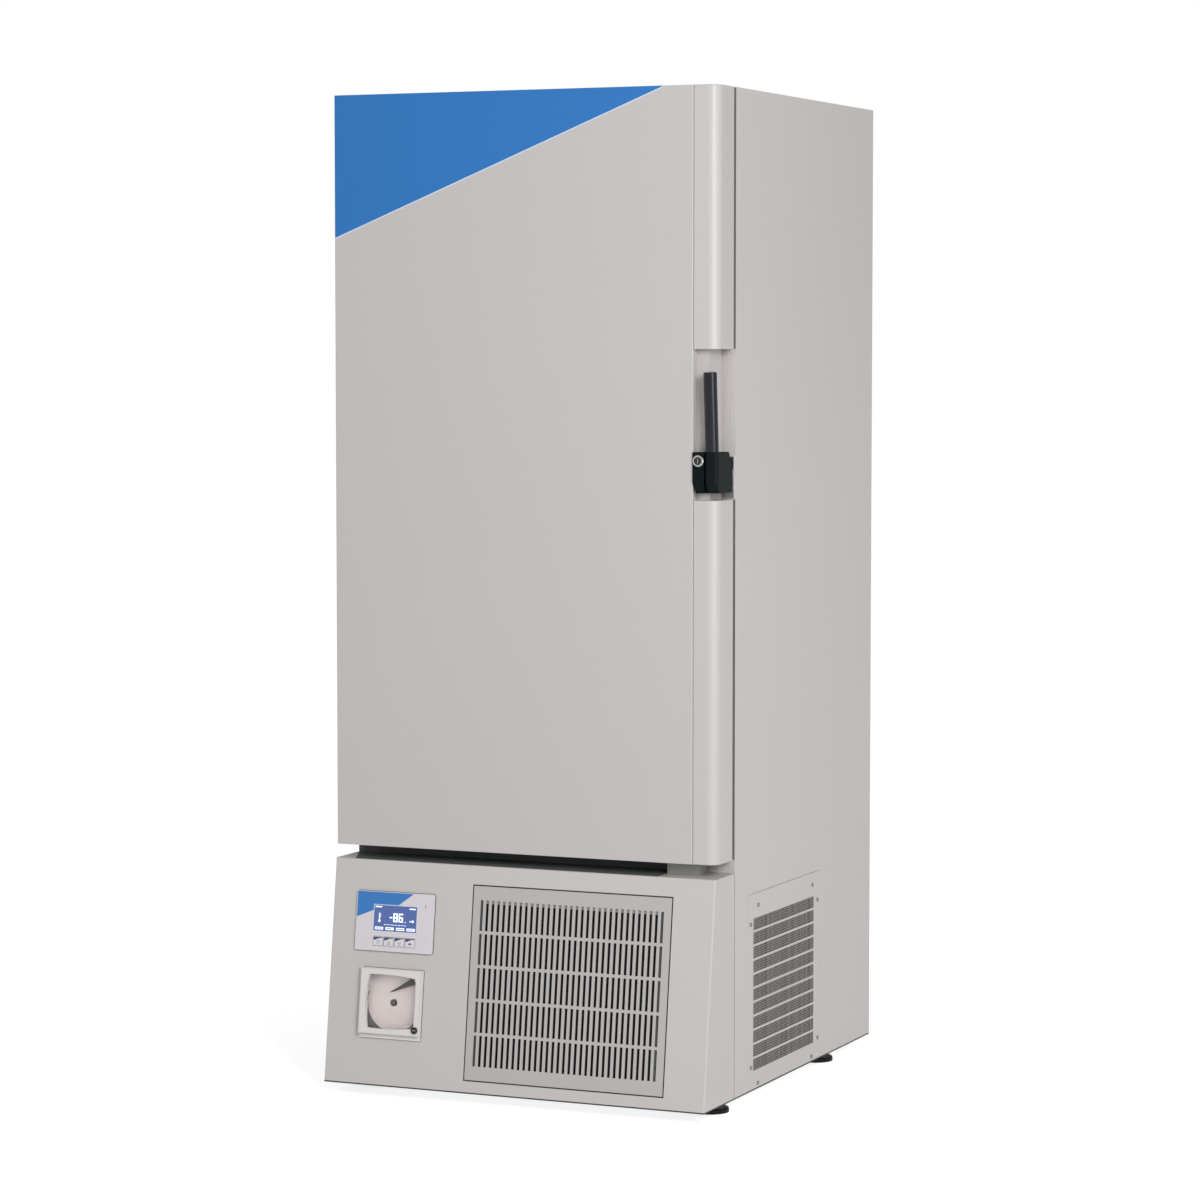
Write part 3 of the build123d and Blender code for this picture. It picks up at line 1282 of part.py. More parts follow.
def exchanger_ports():
    """Tube positions on the heat exchanger's top, and the port on its side."""
    top = BAY_TOP_OF_FLOOR + EXCHANGER_HEIGHT
    cold = (-tail_x(), coil_y(), top)
    suction = (EXCHANGER_X + 12, EXCHANGER_Y - 15, top)
    discharge = (EXCHANGER_X + 27, EXCHANGER_Y + 25, top)
    side = (EXCHANGER_X + EXCHANGER_DIA / 2 + 8, EXCHANGER_Y, BAY_TOP_OF_FLOOR + 57)
    return cold, suction, discharge, side


def cascade_exchanger():
    """Insulated exchanger in which the first stage cools the second."""
    z = (BAY_TOP_OF_FLOOR, BAY_TOP_OF_FLOOR + EXCHANGER_HEIGHT)
    can = rod_z(EXCHANGER_DIA / 2, EXCHANGER_X, EXCHANGER_Y, z)
    side = exchanger_ports()[3]
    return can + rod_x(PIPE_DIA / 2 + 1.2, (EXCHANGER_X, side[0]), side[1], side[2])


def evaporator_coil():
    """Copper serpentine behind the liner, with both tails led down through the deck."""
    y = coil_y()
    half = LINER_HALF - COIL_INSET
    first, last = LINER_BOTTOM + COIL_INSET, LINER_TOP - COIL_INSET
    step = (last - first) / (COIL_PASSES - 1)
    end_z = BAY_TOP - TAIL_LENGTH
    points = [(-tail_x(), y, end_z), (-tail_x(), y, first)]
    side = 1
    for i in range(COIL_PASSES - 1):
        points.append((side * half, y, first + i * step))
        points.append((side * half, y, first + (i + 1) * step))
        side = -side
    points.append((tail_x(), y, last))
    points.append((tail_x(), y, end_z))
    return tube(points, COIL_DIA / 2, COIL_BEND - 1)


def refrigerant_pipework():
    """Tubes between the plant's pieces, the oil separator and the filter drier."""
    cold, suction, discharge, side = exchanger_ports()
    top = port_z()
    high, low = -COMPRESSOR_X, COMPRESSOR_X
    y = COMPRESSOR_Y
    sep_top = BAY_TOP_OF_FLOOR + SEPARATOR_HEIGHT
    sep = rod_z(SEPARATOR_DIA / 2, SEPARATOR_X, SEPARATOR_Y, (BAY_TOP_OF_FLOOR, sep_top))
    sep = fillet(sep.edges().sort_by(Axis.Z)[-1], 12)
    port_a, port_b = SEPARATOR_X - 15, SEPARATOR_X + 20
    level = [sep_top + rise for rise in PIPE_LEVELS]
    cond_y = sum(CONDENSER_YS) / 2
    cond_low, cond_high = CONDENSER_Z[0] + 25, CONDENSER_Z[1] - 25
    dry = (cond_y + DRIER_BACK, cond_y + DRIER_BACK + DRIER_LENGTH)
    cross_y = y + SHELL_DIA / 2 + PIPE_BYPASS
    turn_x = side[0] + 50
    end_z = BAY_TOP - TAIL_LENGTH
    runs = [
        [(high + 32, y, top), (high + 32, y, level[0]), (high + 32, SEPARATOR_Y, level[0]),
         (port_a, SEPARATOR_Y, level[0]), (port_a, SEPARATOR_Y, sep_top)],
        [(port_b, SEPARATOR_Y, sep_top), (port_b, SEPARATOR_Y, cond_high),
         (port_b, cond_y, cond_high), (header_end(), cond_y, cond_high)],
        [(header_end(), cond_y, cond_low), (port_b, cond_y, cond_low), (port_b, dry[0], cond_low)],
        [(port_b, dry[1], cond_low), (port_b, cross_y, cond_low), (turn_x, cross_y, cond_low),
         (turn_x, side[1], side[2]), side],
        [suction, (suction[0], suction[1], level[3]), (high - 32, y, level[3]), (high - 32, y, top)],
        [(low + 32, y, top), (low + 32, y, level[1]), (low + 32, discharge[1], level[1]),
         (discharge[0], discharge[1], level[1]), discharge],
        [(tail_x(), coil_y(), end_z), (tail_x(), coil_y(), level[2]), (tail_x(), y, level[2]),
         (low - 32, y, level[2]), (low - 32, y, top)],
    ]
    pieces = [sep, rod_y(DRIER_DIA / 2, port_b, dry, cond_low)]
    pieces += [tube(points, PIPE_DIA / 2, PIPE_BEND) for points in runs]
    pieces.append(rod_z(PIPE_DIA / 2, cold[0], cold[1], (cold[2], end_z)))
    return group(pieces)


def electrics_box():
    x0 = -BAY_HALF + 5
    z = (BAY_TOP_OF_FLOOR, BAY_TOP_OF_FLOOR + BOX_HEIGHT)
    box = block((x0, x0 + BOX_WIDTH), (BOX_FRONT, BOX_FRONT + BOX_DEPTH), z)
    return fillet(box.edges().filter_by(Axis.Z), 3)


def rear_cover():
    """Louvred rear cover of the machine bay, with the mains inlet's cut-out."""
    half = HALF - SKIN_RETURN
    cover = block((-half, half), (BACK - SKIN, BACK), (BODY_BOTTOM, BAY_TOP))
    middle = (BODY_BOTTOM + BAY_TOP) / 2
    cuts = []
    for i in range(LOUVRE_COUNT):
        z = middle + (i - (LOUVRE_COUNT - 1) / 2) * LOUVRE_PITCH
        for side in (-1, 1):
            x = side * LOUVRE_WIDTH * 0.56 + 40
            cuts.append(Pos(x, BACK - SKIN / 2, z) * Box(LOUVRE_WIDTH, SKIN * 4, LOUVRE_HEIGHT))
    cover -= cuts
    w, h = INLET_WIDTH / 2 + FIT, INLET_HEIGHT / 2 + FIT
    return cover - block((INLET_X - w, INLET_X + w), (BACK - 9, BACK + 9), (INLET_Z - h, INLET_Z + h))


def mains_inlet():
    """Appliance inlet in the rear cover: flanged body, socket and three blades."""
    w, h = INLET_WIDTH / 2, INLET_HEIGHT / 2
    sw, sh, sd = INLET_SOCKET
    rear = BACK + SCREW_PROUD
    xs, zs = (INLET_X - w, INLET_X + w), (INLET_Z - h, INLET_Z + h)
    body = block(xs, (BACK - 26, rear), zs) + block(grow(xs, 3), (BACK, rear), grow(zs, 3))
    socket_x = (INLET_X - sw / 2, INLET_X + sw / 2)
    body -= block(socket_x, (rear - sd, rear + 1), (INLET_Z - sh / 2, INLET_Z + sh / 2))
    for dx, dz in ((-9, -3), (0, 4), (9, -3)):
        x, z = INLET_X + dx, INLET_Z + dz
        body += block((x - 1, x + 1), (rear - sd - 1, rear - 6), (z - 2.5, z + 2.5))
    return body


def build():
    """Every piece by its node name."""
    left, right = side_panel(-1) + side_landing(-1), side_panel(1) + side_landing(1)
    top, back = top_panel(), back_panel()
    face, collar, tank = front_frame(), breaker_strip(), inner_liner()
    parts = {
        "side_panel_left": left,
        "side_panel_right": right,
        "top_panel": top,
        "back_panel": back,
        "front_frame": face,
        "breaker_strip": collar,
        "inner_liner": tank,
        "insulation_foam": insulation_foam([left, right, top, back, face, collar]),
        "evaporator_coil": evaporator_coil(),
        "shelf_supports": shelf_supports(),
        "shelves": shelves(),
        "door_skin": door_skin(),
        "door_foam": door_foam(),
        "door_liner": door_liner(),
        "door_gasket": door_gasket(),
        "handle_trim_upper": handle_trim(CUTOUT_TOP, HEIGHT),
        "handle_trim_lower": handle_trim(DOOR_BOTTOM, CUTOUT_BOTTOM),
        "latch_housing": latch_housing(),
        "key_lock": key_lock(),
        "handle_lever": handle_lever(),
        "latch_keeper": latch_keeper(),
        "hinge_cabinet_leaves": hinge_cabinet_leaves(),
        "hinge_door_leaves": hinge_door_leaves(),
        "door_rest": door_rest(),
        "base_front_cover": base_front_cover(),
        "front_grille": front_grille(),
        "air_filter": air_filter(),
        "control_bezel": control_bezel(),
        "display_module": display_module(),
        "recorder_case": recorder_case(),
        "recorder_cover": recorder_cover(),
        "recorder_window": recorder_window(),
        "recorder_knob": recorder_knob(),
        "chart_disc": chart_disc(),
        "pen_arm": pen_arm(),
        "service_panel_left": service_panel(-1),
        "service_panel_right": service_panel(1),
        "panel_screws": panel_screws(),
        "base_frame": base_frame(),
        "levelling_feet": levelling_feet(),
        "compressor_mounts": compressor_mounts(),
        "compressor_high_stage": compressor(-COMPRESSOR_X),
        "compressor_low_stage": compressor(COMPRESSOR_X),
        "condenser_coil": condenser_coil(),
        "fan_shroud": fan_shroud(),
        "fan_motor": fan_motor(),
        "fan_blade": fan_blade(),
        "cascade_exchanger": cascade_exchanger(),
        "refrigerant_pipework": refrigerant_pipework(),
        "electrics_box": electrics_box(),
        "rear_cover": rear_cover(),
        "mains_inlet": mains_inlet(),
    }
    for i in range(SHELF_COUNT + 1):
        parts[f"inner_door_{i + 1}"] = inner_door(i)
    for i in range(KEY_COUNT):
        parts[f"display_key_{i + 1}"] = display_key(i)
    return parts


os.makedirs("parts", exist_ok=True)
for name, part in build().items():
    export_step(Pos(SHIFT_X, SHIFT_Y, 0) * part, f"parts/{name}.step")
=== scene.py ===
"""Looks of the ultra low temperature upright freezer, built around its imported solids."""

import math

import bmesh
import bpy
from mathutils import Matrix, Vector


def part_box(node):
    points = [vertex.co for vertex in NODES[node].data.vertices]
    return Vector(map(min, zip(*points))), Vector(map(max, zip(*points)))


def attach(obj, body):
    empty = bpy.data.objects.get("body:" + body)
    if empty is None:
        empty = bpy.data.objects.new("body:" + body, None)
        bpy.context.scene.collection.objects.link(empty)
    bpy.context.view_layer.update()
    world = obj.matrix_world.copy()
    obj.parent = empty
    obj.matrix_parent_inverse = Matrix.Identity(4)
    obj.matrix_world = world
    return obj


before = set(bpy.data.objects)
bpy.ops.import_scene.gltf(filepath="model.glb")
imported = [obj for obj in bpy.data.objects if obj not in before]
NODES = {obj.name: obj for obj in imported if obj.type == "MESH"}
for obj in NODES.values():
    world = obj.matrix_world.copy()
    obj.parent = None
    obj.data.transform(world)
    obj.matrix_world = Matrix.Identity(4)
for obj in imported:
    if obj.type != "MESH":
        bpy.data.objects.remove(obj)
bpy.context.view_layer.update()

bl_info = {
    "name": "Ultra low temperature freezer",
    "version": (1, 0, 0),
    "blender": (4, 5, 0),
    "location": "3D View > Sidebar > Freezer",
    "description": "Finishes, printed fields, vents and studio for the upright freezer",
    "category": "Object",
}

MM = 0.001


def low(node):
    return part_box(node)[0]


def high(node):
    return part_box(node)[1]


# Where the sloped front lies, read from the cover. It leans back by SLOPE_RUN from foot to top.
COVER_LOW, COVER_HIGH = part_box("base_front_cover")
SLOPE_RUN = 0.055
SLOPE_RISE = COVER_HIGH.z - COVER_LOW.z
LEAN = math.atan2(SLOPE_RUN, SLOPE_RISE)
SLOPE_TOP = Vector((0.0, COVER_LOW.y + SLOPE_RUN, COVER_HIGH.z))
MID_X = (COVER_LOW.x + COVER_HIGH.x) / 2
UP_SLOPE = Vector((0.0, math.sin(LEAN), math.cos(LEAN)))
OUT_SLOPE = Vector((0.0, -math.cos(LEAN), math.sin(LEAN)))

# How far a noise is squeezed along x, y and z: the same all ways, or into lines across x or z
EVEN, ACROSS_X, ACROSS_Z = (1, 1, 1), (40, 1, 1), (1, 1, 40)

TRIMS = ("handle_trim_upper", "handle_trim_lower")


def on_slope(x, s, n):
    """A point of the sloped front: x from mid-width, s down the slope, n out of it."""
    return SLOPE_TOP + Vector((MID_X + x, 0, 0)) - UP_SLOPE * s + OUT_SLOPE * n


# Sizes and colours that a user would change

def colour(name, text, value):
    return bpy.props.FloatVectorProperty(
        name=name, description=text, subtype="COLOR", size=3, min=0.0, max=1.0, default=value
    )


def length(name, text, value):
    return bpy.props.FloatProperty(
        name=name, description=text, subtype="DISTANCE", unit="LENGTH", default=value, precision=4
    )


class FreezerColours(bpy.types.PropertyGroup):
    cabinet: colour("Cabinet", "Powder coat of the sides and top", (0.585, 0.555, 0.545))
    door: colour("Door", "Powder coat of the door leaf", (0.538, 0.511, 0.504))
    trim: colour("Handle trims", "Powder coat of the door's two trims", (0.548, 0.526, 0.520))
    base: colour("Base", "Powder coat of the sloped base front", (0.569, 0.540, 0.528))
    field: colour("Corner field", "Blue of the door's corner field", (0.031, 0.182, 0.510))
    latch: colour("Latch", "Black of the lever and its block", (0.0045, 0.0075, 0.0078))
    rod: colour("Rod", "Blue black of the round rod", (0.0045, 0.0065, 0.013))
    moulding: colour("Mouldings", "White of the panel and the recorder", (0.693, 0.655, 0.686))
    screen: colour("Screen", "Indigo of the lit screen", (0.062, 0.100, 0.262))
    chart: colour("Chart", "Paper of the round chart", (0.616, 0.538, 0.521))


class FreezerSizes(bpy.types.PropertyGroup):
    field_along: length("Field along the top", "Reach of the blue field from its corner", 0.682)
    field_down: length("Field down the edge", "Reach of the blue field below the top", 0.271)
    field_line: length("Field border", "Width of the pale line under the field", 0.0028)
    screen_pitch: length("Screen pitch", "Distance of the wires behind a side vent", 0.0046)
    screen_wire: length("Screen wire", "Width of one wire behind a side vent", 0.0015)


def colours():
    return bpy.context.scene.freezer_colours


def sizes():
    return bpy.context.scene.freezer_sizes


# Materials

def add_node(tree, kind, inputs=(), **values):
    """Adds a node. Its inputs take plain values or the outputs of other nodes."""
    node = tree.nodes.new(f"ShaderNode{kind}")
    for key, value in values.items():
        setattr(node, key, value)
    for key, value in dict(inputs).items():
        if isinstance(value, bpy.types.NodeSocket):
            tree.links.new(value, node.inputs[key])
        else:
            node.inputs[key].default_value = value
    return node


class Finish:
    """One node material, with short calls for the nodes that it needs."""

    def __init__(self, name):
        self.mat = bpy.data.materials.new(name)
        self.mat.use_nodes = True
        self.tree = self.mat.node_tree
        self.tree.nodes.clear()
        self.body = self.add("BsdfPrincipled")
        self.add("OutputMaterial", {"Surface": self.body.outputs["BSDF"]})
        self.where = self.add("TexCoord").outputs["Object"]

    def add(self, kind, inputs=(), **values):
        return add_node(self.tree, kind, inputs, **values)

    def set(self, **values):
        """Sets plain values on the shader's sockets."""
        names = {
            "color": "Base Color", "metallic": "Metallic", "roughness": "Roughness", "ior": "IOR",
            "coat_roughness": "Coat Roughness", "specular": "Specular IOR Level",
            "transmission": "Transmission Weight",
            "glow": "Emission Strength", "glow_color": "Emission Color",
        }
        for key, value in values.items():
            if key.endswith("color"):
                value = (*value, 1.0)
            self.body.inputs[names[key]].default_value = value
        return self

    def link(self, output, name):
        self.tree.links.new(output, self.body.inputs[name])
        return self

    def noise(self, scale, detail=3.0, stretch=EVEN):
        where = self.where
        if stretch != EVEN:
            where = self.add("Mapping", {"Vector": where, "Scale": stretch}).outputs["Vector"]
        node = self.add("TexNoise", {"Vector": where, "Scale": scale, "Detail": detail})
        return node.outputs["Fac"]

    def ramp(self, factor, low_value, high_value, start=0.0, end=1.0):
        """Carries factor from start..end over to low_value..high_value."""
        node = self.add("MapRange", {
            "Value": factor, "From Min": start, "From Max": end,
            "To Min": low_value, "To Max": high_value,
        })
        return node.outputs["Result"]

    def calc(self, a, b, how="ADD"):
        """One step of arithmetic on two outputs or numbers."""
        return self.add("Math", {0: a, 1: b}, operation=how).outputs[0]

    def blend(self, a, b, factor):
        """Mixes two colours, or two outputs that carry colour."""
        a, b = (c if isinstance(c, bpy.types.NodeSocket) else (*c[:3], 1.0) for c in (a, b))
        return self.add("Mix", {0: factor, 6: a, 7: b}, data_type="RGBA").outputs[2]

    def shade(self, c, dark, light, factor):
        """Base colour from c times dark to c times light."""
        return self.link(self.blend(tone(c, dark), tone(c, light), factor), "Base Color")

    def axes(self):
        """The place on the surface, as its x, y and z."""
        return self.add("SeparateXYZ", {0: self.where}).outputs

    def bump(self, height, strength, distance):
        node = self.add("Bump", {"Height": height, "Strength": strength, "Distance": distance})
        return self.link(node.outputs["Normal"], "Normal")


def tone(c, k):
    """A colour made lighter or darker."""
    return tuple(min(1.0, v * k) for v in c)


def powder_coat(name, c, rough=0.42, peel=0.05):
    """Sprayed and baked paint: even colour, fine orange peel and a soft gloss."""
    f = Finish(name).set(color=c, roughness=rough, specular=0.38)
    cloud = f.noise(2.3, 2.0)
    grain = f.noise(900.0, 2.0)
    mixed = f.calc(f.ramp(cloud, 0.0, 0.75), f.ramp(grain, 0.0, 0.25))
    f.shade(c, 0.985, 1.015, mixed)
    f.link(f.ramp(f.noise(160.0, 2.0), rough - 0.035, rough + 0.035), "Roughness")
    f.bump(f.noise(420.0, 2.0), peel, 0.00025)
    return f


def moulded(name, c, rough=0.38, grain=0.05, scale=700.0):
    """Injection moulded plastic with a fine grained surface."""
    f = Finish(name).set(color=c, roughness=rough, specular=0.5)
    f.shade(c, 0.97, 1.03, f.noise(35.0, 3.0))
    f.link(f.ramp(f.noise(240.0, 2.0), rough - 0.04, rough + 0.05), "Roughness")
    f.bump(f.noise(scale, 2.0), grain, 0.0002)
    return f


def brushed(name, c, rough=0.30, along=ACROSS_Z):
    """Metal with a fine directional polish."""
    f = Finish(name).set(color=c, metallic=1.0, roughness=rough)
    lines = f.noise(220.0, 3.0, stretch=along)
    f.shade(c, 0.93, 1.05, lines)
    f.link(f.ramp(lines, rough - 0.06, rough + 0.08), "Roughness")
    f.bump(lines, 0.04, 0.0001)
    return f


def zinc(name, c=(0.50, 0.51, 0.52), rough=0.40):
    """Zinc coated sheet with its faint crystal patches."""
    f = Finish(name).set(color=c, metallic=0.85, roughness=rough)
    cells = f.add("TexVoronoi", {"Vector": f.where, "Scale": 55.0})
    patch = f.ramp(cells.outputs["Color"], 0.0, 1.0)
    f.shade(c, 0.88, 1.08, patch)
    f.link(f.ramp(patch, rough - 0.05, rough + 0.08), "Roughness")
    f.bump(f.noise(600.0, 2.0), 0.03, 0.0001)
    return f


def rubber(name, c, rough=0.7):
    """Matt rubber or sealant, a little uneven."""
    f = Finish(name).set(color=c, roughness=rough, specular=0.35)
    f.shade(c, 0.8, 1.25, f.noise(90.0, 4.0))
    f.bump(f.noise(500.0, 3.0), 0.12, 0.0003)
    return f


def foam(name, c):
    """Rough foamed filling."""
    f = Finish(name).set(color=c, roughness=0.9, specular=0.2)
    f.shade(c, 0.8, 1.1, f.noise(120.0, 5.0))
    f.bump(f.noise(700.0, 4.0), 0.4, 0.0006)
    return f


def dress(finish, *nodes, edge=0.0, segments=2):
    """Puts one finish on CAD nodes, and rounds their edges where a width is given."""
    for name in nodes:
        mesh = NODES[name].data
        mesh.materials.clear()
        mesh.materials.append(finish.mat)
        if edge:
            soften(NODES[name], edge, segments)


def soften(o, width, segments):
    """Small rounded edges from modifiers."""
    weld = o.modifiers.new("join", "WELD")
    weld.merge_threshold = 0.00001
    bevel = o.modifiers.new("edges", "BEVEL")
    bevel.width = width
    bevel.segments = segments
    bevel.limit_method = "ANGLE"
    bevel.angle_limit = math.radians(35)
    bevel.use_clamp_overlap = True
    bevel.miter_outer = "MITER_ARC"
    o.data.polygons.foreach_set("use_smooth", [True] * len(o.data.polygons))
    normal = o.modifiers.new("shade", "WEIGHTED_NORMAL")
    normal.keep_sharp = False


# Meshes

def piece(name, bm, finish, body, smooth=False):
    """Makes an object from a bmesh, in place, and lets it ride on a body."""
    bmesh.ops.remove_doubles(bm, verts=bm.verts, dist=1e-7)
    bmesh.ops.recalc_face_normals(bm, faces=bm.faces)
    mesh = bpy.data.meshes.new(name)
    bm.to_mesh(mesh)
    bm.free()
    mesh.materials.append(finish.mat)
    for polygon in mesh.polygons:
        polygon.use_smooth = smooth
    if smooth:
        mesh.set_sharp_from_angle(angle=math.radians(38))
    o = bpy.data.objects.new(name, mesh)
    bpy.context.scene.collection.objects.link(o)
    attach(o, body)
    return o


def add_prism(bm, outline, move):
    """A closed prism: outline of (a, b) points, move(a, b, k) gives the point at k 0 or 1."""
    first = [bm.verts.new(move(a, b, 0)) for a, b in outline]
    last = [bm.verts.new(move(a, b, 1)) for a, b in outline]
    count = len(outline)
    bm.faces.new(list(reversed(first)))
    bm.faces.new(last)
    for i in range(count):
        j = (i + 1) % count
        bm.faces.new((first[i], first[j], last[j], last[i]))


def slope_prism(bm, outline, n0, n1):
    """A prism on the sloped front; the outline is (x, s) in millimetres."""
    add_prism(bm, outline, lambda x, s, k: on_slope(x * MM, s * MM, (n1 if k else n0) * MM))


def box(bm, a, b):
    """A box between its lowest and highest corners."""
    outline = [(a[0], a[1]), (b[0], a[1]), (b[0], b[1]), (a[0], b[1])]
    add_prism(bm, outline, lambda x, y, k: Vector((x, y, b[2] if k else a[2])))


def round_outline(x, y, radius, count=24):
    turns = [i * 2 * math.pi / count for i in range(count)]
    return [(x + radius * math.cos(t), y + radius * math.sin(t)) for t in turns]


def square_outline(x0, y0, x1, y1, radius, grow=0.0, steps=5):
    """A rectangle with round corners, grown outwards by a little."""
    r = radius + grow
    corners = (
        (x1 - radius, y1 - radius, 0), (x0 + radius, y1 - radius, 90),
        (x0 + radius, y0 + radius, 180), (x1 - radius, y0 + radius, 270),
    )
    points = []
    for cx, cy, turn in corners:
        for i in range(steps + 1):
            t = math.radians(turn + 90 * i / steps)
            points.append((cx + r * math.cos(t), cy + r * math.sin(t)))
    return points


def add_frame(bm, inner, outer, move):
    """A closed frame between two outlines; move(a, b, k) gives the point at k 0 or 1."""
    loops = []
    for outline, k in ((inner, 0), (outer, 0), (outer, 1), (inner, 1)):
        loops.append([bm.verts.new(move(a, b, k)) for a, b in outline])
    count = len(inner)
    for k in range(4):
        a, b = loops[k], loops[(k + 1) % 4]
        for i in range(count):
            j = (i + 1) % count
            bm.faces.new((a[i], a[j], b[j], b[i]))


def frame_on_slope(bm, inner, outer, n0, n1):
    """A frame on the sloped front between two outlines, in millimetres."""
    add_frame(bm, inner, outer, lambda x, s, k: on_slope(x * MM, s * MM, (n1 if k else n0) * MM))


def ring_on_slope(bm, x, s, inner, outer, n0, n1, count):
    """A round frame on the sloped front, in millimetres."""
    rims = [round_outline(x, s, radius, count) for radius in (inner, outer)]
    frame_on_slope(bm, *rims, n0, n1)


def slope_piece(name, outline, n0, n1, finish, body):
    """A piece that is one prism on the sloped front."""
    bm = bmesh.new()
    slope_prism(bm, outline, n0, n1)
    piece(name, bm, finish, body)


def shade_line_on_slope(name, around, grow, n0, n1, c):
    """Dark rubber ring between outlines grown from one square on the slope: painted shade for a
    shadow line.
    """
    bm = bmesh.new()
    inner, outer = (square_outline(*around, g) for g in grow)
    frame_on_slope(bm, inner, outer, n0, n1)
    piece(name, bm, rubber(name, c), "cabinet")


# Operators: one for each piece or group of like pieces

class FREEZER_OT_cabinet(bpy.types.Operator):
    """Powder coat and soft folds on the cabinet's skins"""
    bl_idname = "freezer.cabinet"
    bl_label = "Cabinet"

    def execute(self, context):
        skins = ("side_panel_left", "side_panel_right", "top_panel", "front_frame")
        dress(powder_coat("cabinet_coat", colours().cabinet), *skins, edge=0.0009)
        dress(zinc("back_sheet"), "back_panel")
        return {"FINISHED"}


class FREEZER_OT_door(bpy.types.Operator):
    """Powder coat of the door leaf and its two handle trims"""
    bl_idname = "freezer.door"
    bl_label = "Outer door"

    def execute(self, context):
        dress(powder_coat("door_coat", colours().door), "door_skin", edge=0.0010)
        dress(powder_coat("trim_coat", colours().trim, 0.36), *TRIMS, edge=0.0014, segments=3)
        dress(foam("door_filling", (0.80, 0.72, 0.48)), "door_foam")
        back = moulded("door_back", (0.66, 0.66, 0.65), 0.45)
        dress(back, "door_liner", edge=0.002, segments=3)
        self.gap_shades()
        return {"FINISHED"}

    def gap_shades(self):
        """Dark strips of painted shade: in the narrow gap between leaf and trims, and on the
        cabinet's front edge behind the trims.
        """
        # Painted shade: dark filler for the shade in the narrow gap between the leaf and each trim
        dark = rubber("leaf_gap_painted_shade", (0.030, 0.030, 0.032), 0.7)
        # Painted shade: grey strips on the cabinet's front edge where the door shades the gap
        # behind the trims
        grey = rubber("edge_gap_painted_shade", (0.17, 0.165, 0.162), 0.8)
        edge, face = high("door_skin").x, low("door_skin").y
        side, front = high("side_panel_right").x, low("side_panel_right").y
        inset = 0.001
        for name in TRIMS:
            z0, z1 = low(name).z + inset, high(name).z - inset
            bm = bmesh.new()
            box(bm, (edge - 0.0010, face + 0.0003, z0), (edge + 0.0020, face + 0.0030, z1))
            piece(name.replace("handle_trim", "leaf_gap_shade"), bm, dark, "door")
            bm = bmesh.new()
            box(bm, (side - 0.0125, front - 0.0011, z0), (side - 0.0005, front - 0.0001, z1))
            piece(name.replace("handle_trim", "edge_gap_shade"), bm, grey, "cabinet")


class FREEZER_OT_corner_field(bpy.types.Operator):
    """Blue field over the door's upper left corner, with its pale border line"""
    bl_idname = "freezer.corner_field"
    bl_label = "Corner field"

    def execute(self, context):
        a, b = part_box("door_skin")
        along, down = sizes().field_along, sizes().field_down
        radius = 0.0025     # of the leaf's fold, which the print goes round
        wrap = 0.012        # how far it goes back on the leaf's side
        under = -0.0002     # its back, sunk into the leaf
        blue = powder_coat("field_coat", colours().field, 0.45).set(specular=0.2)
        pale = powder_coat("line_coat", (0.60, 0.68, 0.78), 0.4)

        def edge(x):
            return b.z - down * (1.0 - (x - a.x) / along)

        def profile(proud, count=7):
            """The face and the rounded left edge, as (x, y), from right to left."""
            points = [(a.x + along, a.y - proud), (a.x + radius, a.y - proud)]
            for i in range(1, count + 1):
                t = math.pi / 2 * i / count
                x = a.x + radius - (radius + proud) * math.sin(t)
                points.append((x, a.y + radius - (radius + proud) * math.cos(t)))
            points.append((a.x - proud, a.y + wrap))
            return points

        def strip(name, finish, proud, top, foot):
            """A film on that profile, between the heights top(x) and foot(x)."""
            bm = bmesh.new()
            outer, inner = profile(proud), profile(under)
            rows = []
            for (xo, yo), (xi, yi) in zip(outer, inner):
                at = max(a.x, xo)
                z0, z1 = foot(at), top(at)
                corners = (xo, yo, z0), (xo, yo, z1), (xi, yi, z1), (xi, yi, z0)
                rows.append([bm.verts.new(corner) for corner in corners])
            for r, t in zip(rows, rows[1:]):
                for k in range(4):
                    m = (k + 1) % 4
                    bm.faces.new((r[k], r[m], t[m], t[k]))
            bm.faces.new(rows[0])
            bm.faces.new(list(reversed(rows[-1])))
            return piece(name, bm, finish, "door", True)

        line = sizes().field_line
        strip(
            "corner_field", blue, 0.00012,
            lambda x: b.z - 0.0002, lambda x: min(edge(x), b.z - 0.0006),
        )
        strip(
            "corner_field_line", pale, 0.00016,
            lambda x: min(edge(x), b.z - 0.0004), lambda x: min(edge(x) - line, b.z - 0.0008),
        )
        return {"FINISHED"}


